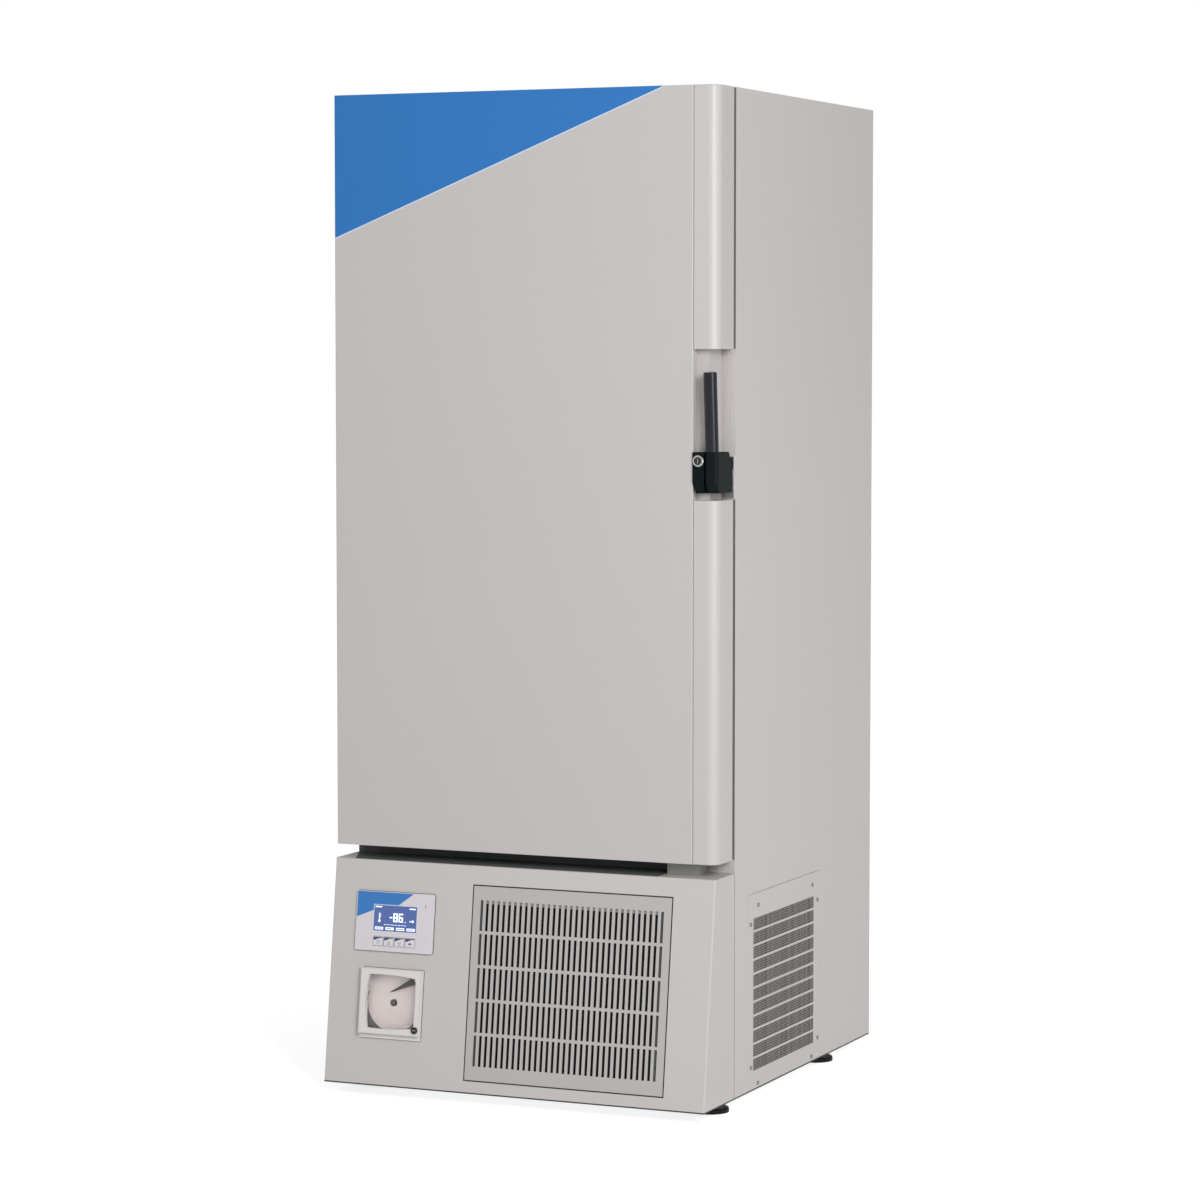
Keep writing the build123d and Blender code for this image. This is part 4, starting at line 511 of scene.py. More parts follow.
class FREEZER_OT_latch(bpy.types.Operator):
    """Lever, round rod, latch block, key lock and keeper"""
    bl_idname = "freezer.latch"
    bl_label = "Lever latch"

    PLUG_RADIUS = 0.0074
    SLOT_HALF_WIDTH, SLOT_HALF_HEIGHT = 0.0009, 0.0046

    def execute(self, context):
        black = moulded("latch_black", colours().latch, 0.50, 0.10, 520.0).set(specular=0.06)
        dress(black, "latch_housing", edge=0.0012, segments=3)
        dress(self.lever_finish(), "handle_lever", edge=0.0011, segments=3)
        chrome = brushed("lock_chrome", (0.44, 0.44, 0.45), 0.24, EVEN)
        dress(chrome, "key_lock", edge=0.0003)
        self.lock_face()
        dress(brushed("keeper_steel", (0.55, 0.55, 0.55)), "latch_keeper")
        return {"FINISHED"}

    def lock_face(self):
        """Dark plug of the lock with its key slot, whose light grey is a painted highlight."""
        a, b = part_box("key_lock")
        x, z, face = (a.x + b.x) / 2, (a.z + b.z) / 2, a.y
        wide, tall = self.SLOT_HALF_WIDTH, self.SLOT_HALF_HEIGHT
        plug = round_outline(x, z, self.PLUG_RADIUS, 40)
        slot = square_outline(x - wide, z - tall, x + wide, z + tall, 0.0004)
        dark = brushed("plug_steel", (0.045, 0.047, 0.050), 0.35, EVEN)
        # Painted highlight: the key slot is drawn light grey for the highlights on the lock face
        pale = brushed("slot_painted_highlight", (0.30, 0.31, 0.32), 0.30, EVEN)
        for name, finish, outline, y0, y1 in (
            ("lock_plug", dark, plug, face - 0.00025, face + 0.0002),
            ("lock_slot", pale, slot, face - 0.00040, face - 0.0002),
        ):
            bm = bmesh.new()
            add_prism(bm, outline, lambda px, pz, k: Vector((px, y1 if k else y0, pz)))
            piece(name, bm, finish, "key_lock")

    def lever_finish(self):
        """Black of the lever's arm below, blue black gloss of its round rod above."""
        c = colours()
        f = Finish("lever_black").set(color=c.latch, specular=0.08, coat_roughness=0.18)
        rod = f.calc(f.axes()["Z"], high("latch_housing").z + 0.0005, "GREATER_THAN")
        f.link(f.blend(c.latch, c.rod, rod), "Base Color")
        f.link(f.calc(f.ramp(rod, 0.48, 0.30), f.ramp(f.noise(240.0, 2.0), 0.0, 0.05)), "Roughness")
        f.link(f.ramp(rod, 0.0, 0.45), "Coat Weight")
        f.bump(f.noise(520.0, 2.0), 0.05, 0.0002)
        return f


class FREEZER_OT_base(bpy.types.Operator):
    """Sloped base front, slotted grille and the filter behind it"""
    bl_idname = "freezer.base"
    bl_label = "Base front"

    # The grille's opening on the slope, in millimetres: x, s, x, s and corner radius
    OPENING = (-97.0, 38.0, 310.0, 405.0, 1.5)
    # The pale board round the filter's fibre, and the painted shade strip under the lower edges, in
    # metres
    BOARD_SIDE, BOARD_HEAD = 0.020, 0.031
    EDGING_INSET, EDGING_WIDE, EDGING_TALL = 0.0003, 0.0025, 0.0028

    def execute(self, context):
        dress(powder_coat("base_coat", colours().base), "base_front_cover", edge=0.0006)
        dress(powder_coat("grille_coat", tone(colours().base, 0.85)), "front_grille")
        dress(self.filter_finish(), "air_filter")
        # Painted shade: a thin dark ring that widens the shadow gap round the grille's opening
        shade_line_on_slope("grille_opening_shade_line", self.OPENING, (0.35, 1.5), -0.5, 0.12, (0.035, 0.035, 0.037))
        self.sealant()
        self.foot_shade()
        dress(self.rest_finish(), "door_rest", edge=0.001)
        return {"FINISHED"}

    def filter_finish(self):
        """Dark fibre in a board frame, seen through the grille's slots, with the side boards
        darkened as painted shade.
        """
        a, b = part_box("air_filter")
        f = Finish("filter_fibre").set(color=(0.012, 0.013, 0.014), roughness=0.95, specular=0.1)
        fibre = f.blend((0.006, 0.007, 0.008), (0.03, 0.032, 0.034), f.noise(260.0, 6.0))
        place = f.axes()
        off_middle = f.calc(f.calc(place["X"], (a.x + b.x) / 2, "SUBTRACT"), 0.0, "ABSOLUTE")
        side = f.calc(off_middle, (b.x - a.x) / 2 - self.BOARD_SIDE, "GREATER_THAN")
        head = f.calc(place["Z"], b.z - self.BOARD_HEAD * math.cos(LEAN), "GREATER_THAN")
        board = f.blend((0.30, 0.31, 0.31), (0.36, 0.37, 0.37), f.noise(120.0, 3.0))
        # Painted shade: the side boards are darker than the head board, for the shade in the
        # grille's outer slots
        side_board_painted_shade = f.blend((0.085, 0.090, 0.090), (0.110, 0.115, 0.115), f.noise(120.0, 3.0))
        f.link(f.blend(f.blend(fibre, board, head), side_board_painted_shade, side), "Base Color")
        return f.bump(f.noise(420.0, 5.0), 0.5, 0.0008)

    def rest_finish(self):
        """Mottled plastic of the door's rest block, darkened as painted shade from the door above.
        """
        # The colours are darkened by about a third: painted shade from the door above
        f = Finish("rest_plastic").set(color=(0.34, 0.35, 0.315), roughness=0.5, specular=0.4)
        mottle = f.blend((0.305, 0.315, 0.280), (0.370, 0.380, 0.350), f.noise(40.0, 2.0))
        f.link(mottle, "Base Color")
        return f.bump(f.noise(500.0, 2.0), 0.05, 0.0002)

    def sealant(self):
        """Dark line between the cover and the cabinet, on each side."""
        dark = rubber("side_sealant", (0.06, 0.06, 0.06), 0.7)
        a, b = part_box("base_front_cover")
        half = 0.00004
        for name, x in (("left", a.x), ("right", b.x)):
            bm = bmesh.new()
            box(bm, (x - half, b.y - 0.0008, a.z + 0.001), (x + half, b.y + 0.0006, b.z - 0.0005))
            piece(f"side_sealant_{name}", bm, dark, "cabinet")

    def foot_shade(self):
        """Dark strip under the lower edges of the base, all the way round: painted shade where the
        base meets the floor.
        """
        a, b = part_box("base_front_cover")
        back = high("rear_cover").y
        outlines = []
        for d in (self.EDGING_INSET + self.EDGING_WIDE, self.EDGING_INSET):
            front = a.y + d
            outlines.append([
                (a.x + d, front), (b.x - d, front), (b.x - d, back - d), (a.x + d, back - d),
            ])
        bm = bmesh.new()
        foot = a.z - self.EDGING_TALL
        add_frame(bm, *outlines, lambda x, y, k: Vector((x, y, a.z if k else foot)))
        # Painted shade: the dark strip stands for the shadow line under the base
        dark = rubber("edging_rubber", (0.045, 0.045, 0.047))
        piece("lower_edging", bm, dark, "cabinet")


class FREEZER_OT_sill(bpy.types.Operator):
    """Dark sheet on the ledge under the door, turned up against the cabinet: painted shade for the
    deep gap
    """
    bl_idname = "freezer.sill"
    bl_label = "Sill"

    def execute(self, context):
        # Painted shade: the sheet's dark tone stands for the shade in the gap under the door, and
        # its plan is cut back at the left front corner
        dark = rubber("sill_painted_shade", (0.105, 0.116, 0.114), 0.7)
        ledge = high("base_front_cover").z
        front = low("base_front_cover").y + SLOPE_RUN + 0.0022
        back = low("front_frame").y - 0.00002
        left, right = low("base_front_cover").x + 0.0015, low("door_rest").x - 0.0008
        top = low("door_skin").z - 0.0010
        step, corner = 0.0006, 0.040
        wall = low("front_frame").y - step
        face = low("front_frame").y - 2 * step
        bm = bmesh.new()
        plan = [(left + corner, front), (right, front), (right, back), (left, back)]
        add_prism(bm, plan, lambda x, y, k: Vector((x, y, ledge + (step if k else 0.00002))))
        upright = [
            (back, ledge + step), (back, top), (wall, top + 0.0004),
            (face, top), (face, ledge + step),
        ]
        add_prism(bm, upright, lambda y, z, k: Vector((right if k else left, y, z)))
        piece("sill", bm, dark, "cabinet")
        return {"FINISHED"}


class FREEZER_OT_panel(bpy.types.Operator):
    """Control panel: printed field, screen figures and key faces"""
    bl_idname = "freezer.panel"
    bl_label = "Control panel"

    # In millimetres. The panel's place and size on the slope, and how far its face stands out
    LEFT, TOP, WIDE, TALL, FACE = -342.0, 60.0, 165.0, 114.0, 5.0
    # From the panel's corner: the screen as x, s, width, height, and the first key with its pitch
    SCREEN = (38.0, 26.0, 91.0, 49.0)
    KEYS = (39.2, 86.5, 22.7, 20.5, 17.0)
    # Reach of the blue corner along the top and down the left edge
    BLUE_ALONG, BLUE_DOWN = 127.0, 51.0

    def at(self, outline):
        """Points measured from the panel's corner, on the slope."""
        return [(self.LEFT + x, self.TOP + s) for x, s in outline]

    def plate(self, bm, outline, n0, n1):
        """A prism whose outline is measured from the panel's corner."""
        slope_prism(bm, self.at(outline), n0, n1)

    def bars(self, bm, boxes, n0, n1):
        """Thin bars, each as x, s, width, height."""
        for x, s, w, h in boxes:
            self.plate(bm, [(x, s), (x + w, s), (x + w, s + h), (x, s + h)], n0, n1)

    def execute(self, context):
        moulding, screen = colours().moulding, colours().screen
        white = moulded("panel_white", moulding, 0.33, 0.03)
        dress(white, "control_bezel", edge=0.0009, segments=3)
        keycap = moulded("key_white", tone(moulding, 1.04), 0.36, 0.03)
        dress(keycap, *(f"display_key_{i}" for i in range(1, 5)), edge=0.0004)
        lit = Finish("screen_glass").set(color=screen, roughness=0.16, specular=0.5)
        lit.set(glow_color=screen, glow=0.55)
        lit.shade(screen, 0.9, 1.1, lit.noise(60.0, 2.0))
        dress(lit, "display_module")
        self.seal()
        self.field()
        self.figures()
        self.key_faces()
        return {"FINISHED"}

    def seal(self):
        """Dark line between the panel and the cover, painted shade for the bezel's shadow, and the
        fine line round each key.
        """
        around = (self.LEFT, self.TOP, self.LEFT + self.WIDE, self.TOP + self.TALL, 4.0)
        # Painted shade: the bezel's shadow line on the cover
        shade_line_on_slope("panel_shade_line", around, (0.05, 0.9), 0.02, 0.9, (0.05, 0.05, 0.052))
        line = moulded("key_line", (0.17, 0.18, 0.22), 0.4, 0.02)
        left, top, pitch, w, h = self.KEYS
        bm = bmesh.new()
        for i in range(4):
            x0, s0 = self.LEFT + left + i * pitch, self.TOP + top
            inner, outer = (
                square_outline(x0, s0, x0 + w, s0 + h, 0.8, grow) for grow in (0.35, 0.95)
            )
            frame_on_slope(bm, inner, outer, self.FACE - 0.1, self.FACE + 0.08)
        piece("key_lines", bm, line, "cabinet")

    def field(self):
        """Blue corner cut round the screen, the screen's pale rim and the small lamp mark."""
        x, s, w, h = self.SCREEN
        along, down = self.BLUE_ALONG, self.BLUE_DOWN
        edge, gap, rim = 1.2, 1.5, 1.2

        def cut(px):
            return down * (1.0 - px / along)

        blue = moulded("panel_blue", tone(colours().field, 1.05), 0.32, 0.02)
        corner = self.at([
            (edge, edge), (along - 6, edge), (x + 52, s - gap - 0.3), (x + 52, s - gap),
            (x - gap, s - gap), (x - gap, cut(x - gap)), (edge, cut(edge)),
        ])
        n0, n1 = self.FACE - 0.2, self.FACE + 0.12
        slope_piece("panel_field", corner, n0, n1, blue, "cabinet")
        pale = moulded("screen_rim", (0.62, 0.66, 0.78), 0.35, 0.02)
        bm = bmesh.new()
        self.bars(bm, [
            (x - rim, s - rim, w + 2 * rim, rim), (x - rim, s + h, w + 2 * rim, rim),
            (x - rim, s, rim, h), (x + w, s, rim, h),
        ], self.FACE - 0.3, self.FACE + 0.1)
        piece("screen_rim", bm, pale, "cabinet")
        grey = moulded("lamp_mark", (0.22, 0.24, 0.28), 0.3, 0.02)
        bm = bmesh.new()
        self.plate(bm, round_outline(147.0, 22.0, 1.5, 20), self.FACE - 0.2, self.FACE + 0.15)
        self.bars(bm, [(146.4, 25.0, 1.2, 3.4)], self.FACE - 0.2, self.FACE + 0.1)
        piece("lamp_mark", bm, grey, "cabinet")

    def digit(self, x, s, w, h, t, lit):
        """Bars of a seven part figure."""
        half = h / 2
        parts = {
            "a": (x, s, w, t), "g": (x, s + half - t / 2, w, t), "d": (x, s + h - t, w, t),
            "f": (x, s, t, half), "b": (x + w - t, s, t, half),
            "e": (x, s + half, t, half), "c": (x + w - t, s + half, t, half),
        }
        return [parts[k] for k in lit]

    def figures(self):
        """The screen's number, thermometer, signs and lower keys, from the screen's corner."""
        glow = Finish("screen_figures").set(color=(0.80, 0.85, 0.95), roughness=0.3)
        glow.set(glow_color=(0.80, 0.86, 1.0), glow=0.55)
        cloud = glow.blend((0.76, 0.82, 0.94), (0.86, 0.90, 0.98), glow.noise(80.0, 2.0))
        glow.link(cloud, "Base Color")
        x, s = self.SCREEN[:2]
        n0, n1 = 4.3, 4.55
        minus = [(x + 33, s + 21.5, 6, 2.6)]
        eight = self.digit(x + 41, s + 14, 9.5, 17, 3.0, "abcdefg")
        six = self.digit(x + 52.5, s + 14, 9.5, 17, 3.0, "acdefg")
        point = [(x + 66, s + 29.6, 1.8, 1.8)]
        stem = [(x + 10.5, s + 15, 2.2, 13)]
        marks = [(x + 12.9, s + 16.5 + 3 * i, 2.0, 0.8) for i in range(3)]
        corners = [(x + 2, s + 2, 14, 2.4), (x + 75, s + 3.2, 13, 2.4)]
        signs = [
            (x + 76, s + 27, 3, 2.4), (x + 81.5, s + 25.5, 2.6, 5.0),
            (x + 80.3, s + 26.7, 5.0, 2.6),
        ]
        words = [(x + 22 + 6 * i, s + 36.2, 4.4, 1.1) for i in range(8)]
        soft_keys = [(x + 3 + 22.6 * i, s + 41.5, 17.5, 5.2) for i in range(4)]
        bm = bmesh.new()
        for group in (minus, eight, six, stem, marks, corners, signs, point, words, soft_keys):
            self.bars(bm, group, n0, n1)
        self.plate(bm, round_outline(x + 11.6, s + 30.0, 2.7, 20), n0, n1)
        piece("screen_figures", bm, glow, "cabinet")
        shade = moulded("soft_key_words", (0.10, 0.13, 0.42), 0.3, 0.02)
        lines = [(x + 5.0 + 22.6 * i, s + 43.4, 13.5 - 2.5 * (i % 2), 1.4) for i in range(4)]
        bm = bmesh.new()
        self.bars(bm, lines, n1 - 0.1, n1 + 0.08)
        piece("soft_key_marks", bm, shade, "cabinet")

    def sign(self, bm, i, cx, cs, n0, n1):
        """Line drawn sign of key i: ring with a stroke, up, down, and an arrow to the right."""
        if i == 0:
            ring_on_slope(bm, self.LEFT + cx, self.TOP + cs, 2.4, 3.2, n0, n1, 24)
            self.bars(bm, [(cx - 0.4, cs - 4.2, 0.8, 2.6)], n0, n1)
            return
        if i == 3:
            arrow = (
                (-4.0, -1.0), (-0.6, -1.0), (-0.6, -3.0), (3.4, 0.4),
                (-0.6, 3.6), (-0.6, 1.8), (-4.0, 1.8),
            )
        elif i == 1:
            arrow = ((-3.6, 2.2), (0, -3.0), (3.6, 2.2), (2.4, 2.2), (0, -1.2), (-2.4, 2.2))
        else:
            arrow = ((-3.6, -2.2), (-2.4, -2.2), (0, 1.2), (2.4, -2.2), (3.6, -2.2), (0, 3.0))
        self.plate(bm, [(cx + x, cs + s) for x, s in arrow], n0, n1)
        if i < 3:
            self.bars(bm, [(cx - 3.4, cs + (3.2 if i == 1 else 3.8), 6.8, 0.8)], n0, n1)

    def key_faces(self):
        """Dark slanted band and a line drawn sign on each key."""
        dark = moulded("key_blue", (0.020, 0.045, 0.150), 0.34, 0.02)
        line = moulded("key_sign", (0.16, 0.17, 0.20), 0.4, 0.02)
        left, top, pitch, w, h = self.KEYS
        n0, n1 = 5.4, 5.58
        for i in range(4):
            x = left + i * pitch
            key = f"key_{i + 1}"
            band = self.at([
                (x + 0.8, top + 0.8), (x + w - 0.8, top + 0.8), (x + w - 0.8, top + 2.0),
                (x + w * 0.62, top + 2.6), (x + 2.6, top + 6.6), (x + 0.8, top + 7.0),
            ])
            slope_piece(f"key_band_{i + 1}", band, n0, n1, dark, key)
            bm = bmesh.new()
            self.sign(bm, i, x + w * 0.52, top + h * 0.60, n0, n1)
            piece(f"key_sign_{i + 1}", bm, line, key)


class FREEZER_OT_recorder(bpy.types.Operator):
    """Chart recorder: frame, window, printed chart, hub, pen and knob"""
    bl_idname = "freezer.recorder"
    bl_label = "Chart recorder"

    # In millimetres on the slope. Middle of the chart and of the knob, as x, s, height
    CHART = (-258.0, 271.0, -10.0)
    KNOB = (-200.5, 319.5, 16.7)
    # Case as x0, s0, x1, s1, corner radius, and the corners of the plate behind its window
    CASE = (-323.0, 206.0, -193.0, 340.0, 2.0)
    PLATE = ((-314.8, 214.2), (-201.2, 214.2), (-201.2, 331.8), (-314.8, 331.8))
    # Radii of the printed paper, 4.2 more than the CAD disc, its hole, the pale guide and the cap
    PAPER, HOLE, GUIDE, CAP = 56.2, 5.6, 54.5, 6.2
    GUIDE_CORNER = (-314.6, 216.0)
    CAP_RIBS = 16

    def execute(self, context):
        white = moulded("recorder_white", (0.720, 0.687, 0.677), 0.40, 0.04)
        dress(white, "recorder_cover", edge=0.0010, segments=3)
        dress(white, "recorder_case", edge=0.0006)
        pane = Finish("window_pane").set(color=(0.96, 0.98, 0.98), roughness=0.05)
        pane.set(transmission=1.0, ior=1.12)
        pane.link(pane.ramp(pane.noise(20.0, 2.0), 0.03, 0.07), "Roughness")
        dress(pane, "recorder_window")
        paper = self.printed_paper()
        dress(paper, "chart_disc")
        self.paper_disc(paper)
        grey = moulded("pen_grey", (0.060, 0.052, 0.048), 0.45, 0.05)
        dress(grey, "pen_arm", edge=0.0002)
        black = moulded("knob_black", (0.008, 0.008, 0.009), 0.3, 0.04)
        dress(black, "recorder_knob", edge=0.0006, segments=3)
        self.plate()
        self.cap()
        self.knob_mark()
        return {"FINISHED"}

    def printed_paper(self):
        """Paper with fine printed rings and curved time lines round the chart's centre."""
        c = colours().chart
        f = Finish("chart_paper").set(color=c, roughness=0.7, specular=0.3)
        x, s, n = self.CHART
        centre = on_slope(x * MM, s * MM, n * MM)
        shift = f.add("VectorMath", {0: f.where, 1: centre}, operation="SUBTRACT").outputs[0]
        across, up = (
            f.add("VectorMath", {0: shift, 1: axis}, operation="DOT_PRODUCT").outputs["Value"]
            for axis in (Vector((1, 0, 0)), UP_SLOPE)
        )
        square = f.calc(f.calc(across, across, "MULTIPLY"), f.calc(up, up, "MULTIPLY"))
        away = f.calc(square, 0.5, "POWER")
        turn = f.calc(up, across, "ARCTAN2")

        def lines(value, count, width):
            """Thin lines wherever value times count comes near an even number."""
            wave = f.calc(f.calc(value, count, "MULTIPLY"), 1.0, "PINGPONG")
            return f.calc(wave, width, "LESS_THAN")

        ring_pitch, time_lines, sweep = 0.004, 48, 9.0
        innermost, outermost = 0.015, 0.053
        rings = lines(away, 2 / ring_pitch, 0.09)
        bent = f.calc(turn, f.calc(away, sweep, "MULTIPLY"))
        spokes = lines(bent, time_lines / math.pi, 0.05)
        past = f.calc(away, innermost, "GREATER_THAN")
        within = f.calc(past, f.calc(away, outermost, "LESS_THAN"), "MULTIPLY")
        marks = f.calc(f.calc(rings, spokes, "MAXIMUM"), within, "MULTIPLY")
        ink = f.blend(c, (0.52, 0.36, 0.36), f.calc(marks, 0.34, "MULTIPLY"))
        f.link(ink, "Base Color")
        f.bump(f.noise(800.0, 3.0), 0.05, 0.0001)
        return f

    def paper_disc(self, paper):
        """Printed paper on the chart disc, and a dark line round the case that is painted shade for
        its shadow.
        """
        x, s, n = self.CHART
        bm = bmesh.new()
        ring_on_slope(bm, x, s, self.HOLE, self.PAPER, n + 0.02, n + 0.12, 96)
        piece("chart_paper", bm, paper, "chart", True)
        # Painted shade: the recorder case's shadow line on the cover
        shade_line_on_slope("recorder_shade_line", self.CASE, (0.05, 0.8), 0.02, 0.6, (0.05, 0.05, 0.052))

    def plate(self):
        """Grey plate behind the chart, and the pale guide in its upper left corner."""
        grey = moulded("chart_plate", (0.185, 0.172, 0.170), 0.5, 0.05)
        slope_piece("chart_plate", self.PLATE, -11.28, -11.02, grey, "cabinet")
        pale = moulded("guide_white", tone(colours().chart, 0.93), 0.5, 0.04)
        x, s = self.CHART[:2]
        left, top = self.GUIDE_CORNER
        turns = [math.radians(20 + 5 * i) for i in range(12)]
        arc = [(x - self.GUIDE * math.cos(t), s - self.GUIDE * math.sin(t)) for t in turns]
        outline = [*arc, (arc[-1][0], top), (left, top), (left, arc[0][1])]
        slope_piece("chart_guide", outline, -10.95, -10.25, pale, "cabinet")

    def cap(self):
        """Ribbed cap on the chart's hub."""
        dark = moulded("hub_dark", (0.075, 0.055, 0.050), 0.4, 0.05)
        x, s, n = self.CHART
        bm = bmesh.new()
        slope_prism(bm, round_outline(x, s, self.CAP, 40), n + 0.14, n + 4.56)
        for cx, cs in round_outline(x, s, self.CAP - 0.1, self.CAP_RIBS):
            slope_prism(bm, round_outline(cx, cs, 0.55, 8), n + 0.4, n + 4.4)
        piece("hub_grip", bm, dark, "chart", True)

    def knob_mark(self):
        """Pale bar on the knob."""
        pale = moulded("knob_mark", (0.35, 0.36, 0.38), 0.4, 0.03)
        x, s, n = self.KNOB
        w, h = 3.4, 0.7
        bar = [(x - w, s - h), (x + w, s - h), (x + w, s + h), (x - w, s + h)]
        slope_piece("knob_mark", bar, n - 0.1, n + 0.12, pale, "recorder_knob")


class FREEZER_OT_vents(bpy.types.Operator):
    """Service panels, the fine screens behind their vents, and the screws"""
    bl_idname = "freezer.vents"
    bl_label = "Service panels"

    # In metres. The vent field from the panel's front edge and from the floor
    FRONT, FOOT, LONG, TALL = 0.0262, 0.060, 0.326, 0.2914
    # How far screen and dark backing sheet reach past the vents, and the screen's clearance and
    # thickness
    LAP, CLEAR, THICK = 0.004, 0.00002, 0.00025

    def execute(self, context):
        coat = powder_coat("service_coat", colours().cabinet)
        dress(coat, "service_panel_left", "service_panel_right", edge=0.0004, segments=1)
        fine = powder_coat("screen_coat", tone(colours().cabinet, 0.42))
        # Painted shade: a dark sheet with soft lighter and darker bands stands for the dim machine
        # bay behind the vents
        shade_backing = Finish("lining_felt").set(color=(0.04, 0.037, 0.034), roughness=0.95, specular=0.1)
        shade_bands = shade_backing.ramp(shade_backing.noise(1.0, 2.0, stretch=(0, 55, 0)), 0.0, 1.0, 0.42, 0.58)
        shade_backing.link(shade_backing.blend((0.010, 0.0095, 0.009), (0.155, 0.145, 0.135), shade_bands), "Base Color")
        self.screen("left", -1, fine, shade_backing)
        self.screen("right", 1, fine, shade_backing)
        dress(brushed("screw_steel", (0.24, 0.24, 0.245), 0.38, EVEN), "panel_screws")
        return {"FINISHED"}

    def screen(self, name, side, fine, shade_backing):
        """Upright and level wires behind the vents of one side, and a dark banded sheet behind them
        as painted shade.
        """
        pitch, wire = sizes().screen_pitch, sizes().screen_wire
        post_pitch, post = 1.5 * pitch, 1.05 * wire
        a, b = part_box(f"service_panel_{name}")
        y0, y1 = a.y + self.FRONT - self.LAP, a.y + self.FRONT + self.LONG + self.LAP
        z0, z1 = self.FOOT - self.LAP, self.FOOT + self.TALL + self.LAP
        face = a.x if side > 0 else b.x
        near, far = face - side * self.CLEAR, face - side * (self.THICK + self.CLEAR)
        back = far - side * self.THICK
        bm = bmesh.new()
        for i in range(int((y1 - y0) / post_pitch)):
            y = y0 + (i + 0.5) * post_pitch
            box(bm, (min(near, far), y - post / 2, z0), (max(near, far), y + post / 2, z1))
        for i in range(int((z1 - z0) / pitch)):
            z = z0 + (i + 0.5) * pitch
            box(bm, (min(far, back), y0, z - wire / 2), (max(far, back), y1, z + wire / 2))
        piece(f"vent_screen_{name}", bm, fine, "cabinet")
        bm = bmesh.new()
        inner, outer = back - side * 0.0007, back - side * 0.0004
        box(bm, (min(inner, outer), y0, z0), (max(inner, outer), y1, z1))
        piece(f"vent_shade_sheet_{name}", bm, shade_backing, "cabinet")


class FREEZER_OT_chamber(bpy.types.Operator):
    """Cold chamber: liner, shelves, inner doors, collar, seals and foam"""
    bl_idname = "freezer.chamber"
    bl_label = "Cold chamber"

    def execute(self, context):
        dress(brushed("liner_steel", (0.56, 0.56, 0.56), 0.30, ACROSS_X), "inner_liner")
        shelf = brushed("shelf_steel", (0.60, 0.60, 0.60), 0.26, ACROSS_X)
        dress(shelf, "shelves", "shelf_supports")
        dress(moulded("collar_plastic", (0.60, 0.60, 0.58), 0.5), "breaker_strip")
        dress(foam("cabinet_filling", (0.80, 0.72, 0.48)), "insulation_foam")
        dress(rubber("gasket_rubber", (0.03, 0.03, 0.032)), "door_gasket")
        inner = moulded("inner_door_white", (0.72, 0.72, 0.71), 0.35, 0.03)
        dress(inner, *(f"inner_door_{i}" for i in range(1, 5)), edge=0.0008)
        copper = brushed("copper", (0.60, 0.28, 0.16), 0.35, EVEN)
        dress(copper, "evaporator_coil", "refrigerant_pipework")
        return {"FINISHED"}


class FREEZER_OT_plant(bpy.types.Operator):
    """Cooling plant and frame in the machine bay"""
    bl_idname = "freezer.plant"
    bl_label = "Machine bay"

    def execute(self, context):
        dress(zinc("frame_zinc"), "base_frame", "electrics_box", "fan_shroud", "rear_cover")
        enamel = powder_coat("compressor_enamel", (0.012, 0.012, 0.013), 0.35, 0.08)
        dress(enamel, "compressor_high_stage", "compressor_low_stage", "fan_motor")
        dress(rubber("mount_rubber", (0.02, 0.02, 0.02)), "compressor_mounts")
        dress(moulded("fan_plastic", (0.05, 0.05, 0.055), 0.4), "fan_blade")
        dress(foam("exchanger_foam", (0.06, 0.06, 0.065)), "cascade_exchanger")
        foot = moulded("foot_black", (0.007, 0.008, 0.008), 0.45, 0.1).set(specular=0.12)
        dress(foot, "levelling_feet")
        dress(moulded("inlet_black", (0.014, 0.014, 0.015), 0.4, 0.1), "mains_inlet")
        hinge = brushed("hinge_steel", (0.52, 0.52, 0.53))
        dress(hinge, "hinge_cabinet_leaves", "hinge_door_leaves")
        dress(brushed("fin_metal", (0.42, 0.43, 0.44), 0.4, (60, 1, 1)), "condenser_coil")
        return {"FINISHED"}


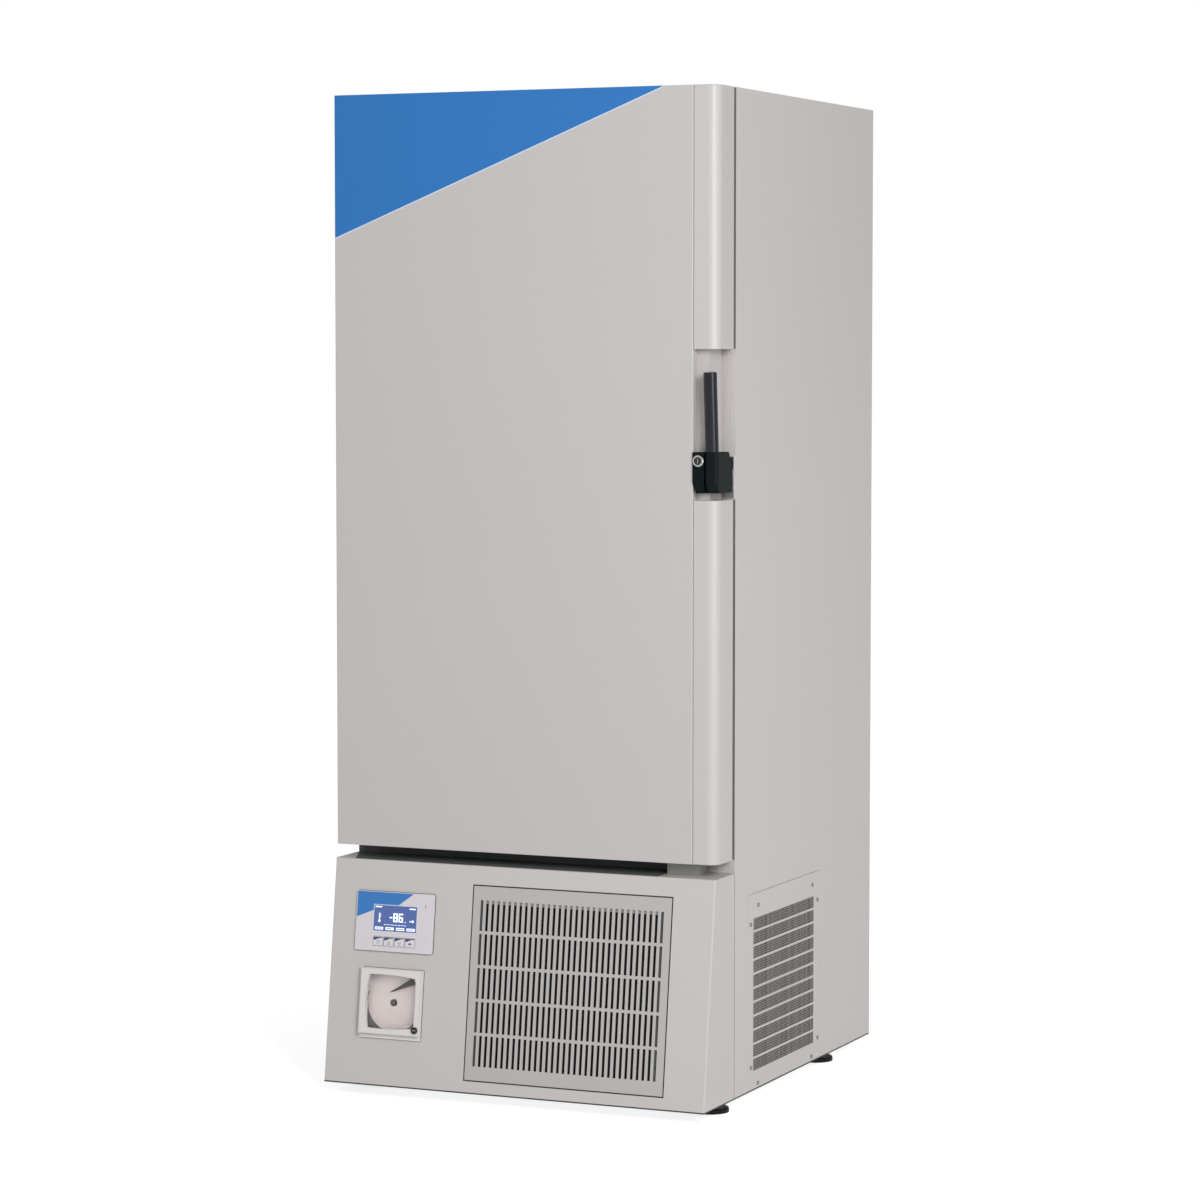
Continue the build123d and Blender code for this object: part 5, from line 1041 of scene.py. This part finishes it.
class FREEZER_OT_stage(bpy.types.Operator):
    """Pale floor, soft studio light and the camera"""
    bl_idname = "freezer.stage"
    bl_label = "Studio"

    # Half the floor's size in metres, its own glow to the camera, and the sky's light on the piece
    FLOOR, FLOOR_GLOW, SKY = 60.0, 0.63, 0.45

    def execute(self, context):
        self.floor()
        self.world()
        self.lamps()
        self.camera()
        return {"FINISHED"}

    def floor(self):
        """White floor that takes shadows, and glows to the camera and in reflections."""
        bm = bmesh.new()
        bmesh.ops.create_grid(bm, x_segments=2, y_segments=2, size=self.FLOOR)
        mesh = bpy.data.meshes.new("floor")
        bm.to_mesh(mesh)
        bm.free()
        floor = bpy.data.objects.new("floor", mesh)
        bpy.context.scene.collection.objects.link(floor)
        mat = bpy.data.materials.new("floor_white")
        mat.use_nodes = True
        tree = mat.node_tree
        tree.nodes.clear()
        path = add_node(tree, "LightPath").outputs
        rays = {0: path["Is Camera Ray"], 1: path["Is Glossy Ray"]}
        seen = add_node(tree, "Math", rays, operation="MAXIMUM").outputs[0]
        shown = add_node(tree, "Math", {0: seen, 1: self.FLOOR_GLOW}, operation="MULTIPLY")
        matt = add_node(tree, "BsdfDiffuse", {"Color": (0.86, 0.86, 0.86, 1)})
        glow = add_node(tree, "Emission", {"Strength": shown.outputs[0]})
        both = add_node(tree, "AddShader", {0: matt.outputs[0], 1: glow.outputs[0]})
        add_node(tree, "OutputMaterial", {"Surface": both.outputs[0]})
        mesh.materials.append(mat)

    def world(self):
        """White to the camera and through the window, and weaker as light on the piece."""
        world = bpy.data.worlds.new("studio")
        bpy.context.scene.world = world
        world.use_nodes = True
        tree = world.node_tree
        tree.nodes.clear()
        path = add_node(tree, "LightPath").outputs
        rays = {0: path["Is Camera Ray"], 1: path["Is Transmission Ray"]}
        seen = add_node(tree, "Math", rays, operation="MAXIMUM").outputs[0]
        weak, full = (
            add_node(tree, "Background", {"Color": (1, 1, 1, 1), "Strength": strength}).outputs[0]
            for strength in (self.SKY, 1.0)
        )
        mix = add_node(tree, "MixShader", {"Fac": seen, 1: weak, 2: full})
        add_node(tree, "OutputWorld", {"Surface": mix.outputs[0]})

    def lamp(self, name, place, aim, size, power):
        data = bpy.data.lights.new(name, "AREA")
        data.shape = "RECTANGLE"
        data.size, data.size_y = size
        data.energy = power
        lamp = bpy.data.objects.new(name, data)
        lamp.location = place
        direction = Vector(aim) - Vector(place)
        lamp.rotation_euler = direction.to_track_quat("-Z", "Y").to_euler()
        bpy.context.scene.collection.objects.link(lamp)
        return lamp

    def lamps(self):
        """A key lamp, a weak front lamp, and a strip that gives highlights only."""
        self.lamp("key", (4.0, -4.4, 2.9), (0.0, 0.0, 1.0), (1.8, 2.4), 208.0)
        self.lamp("front", (-1.4, -5.4, 2.6), (0.0, 0.0, 0.9), (2.2, 2.2), 16.0)
        strip = self.lamp("strip", (5.6, -3.1, 1.2), (0.35, -0.45, 1.25), (2.3, 1.4), 82.0)
        strip.visible_diffuse = False

    def camera(self):
        """The camera fitted to the photo's edges."""
        data = bpy.data.cameras.new("camera")
        data.lens = 113.13
        data.sensor_width = 36.0
        data.sensor_fit = "HORIZONTAL"
        data.clip_end = 200.0
        camera = bpy.data.objects.new("camera", data)
        camera.location = (2.9924, -6.8148, 1.4285)
        camera.rotation_euler = (math.radians(90.0 - 3.8), 0.0, math.radians(23.73))
        bpy.context.scene.collection.objects.link(camera)
        bpy.context.scene.camera = camera
        bpy.context.scene.view_settings.view_transform = "Standard"


OPERATORS = (
    FREEZER_OT_stage,
    FREEZER_OT_cabinet,
    FREEZER_OT_door,
    FREEZER_OT_corner_field,
    FREEZER_OT_latch,
    FREEZER_OT_base,
    FREEZER_OT_sill,
    FREEZER_OT_panel,
    FREEZER_OT_recorder,
    FREEZER_OT_vents,
    FREEZER_OT_chamber,
    FREEZER_OT_plant,
)


class FREEZER_PT_panel(bpy.types.Panel):
    """Lists the pieces, their colours and their sizes"""
    bl_idname = "FREEZER_PT_panel"
    bl_label = "Freezer"
    bl_space_type = "VIEW_3D"
    bl_region_type = "UI"
    bl_category = "Freezer"

    def draw(self, context):
        layout = self.layout
        for group in (colours(), sizes()):
            column = layout.column()
            for name in group.__annotations__:
                column.prop(group, name)
        for operator in OPERATORS:
            layout.operator(operator.bl_idname)


def register():
    for item in (FreezerColours, FreezerSizes, *OPERATORS, FREEZER_PT_panel):
        bpy.utils.register_class(item)
    bpy.types.Scene.freezer_colours = bpy.props.PointerProperty(type=FreezerColours)
    bpy.types.Scene.freezer_sizes = bpy.props.PointerProperty(type=FreezerSizes)


def unregister():
    del bpy.types.Scene.freezer_sizes
    del bpy.types.Scene.freezer_colours
    for item in reversed((FreezerColours, FreezerSizes, *OPERATORS, FREEZER_PT_panel)):
        bpy.utils.unregister_class(item)


def main():
    register()
    for operator in OPERATORS:
        group, name = operator.bl_idname.split(".")
        getattr(getattr(bpy.ops, group), name)()


if __name__ == "__main__":
    main()
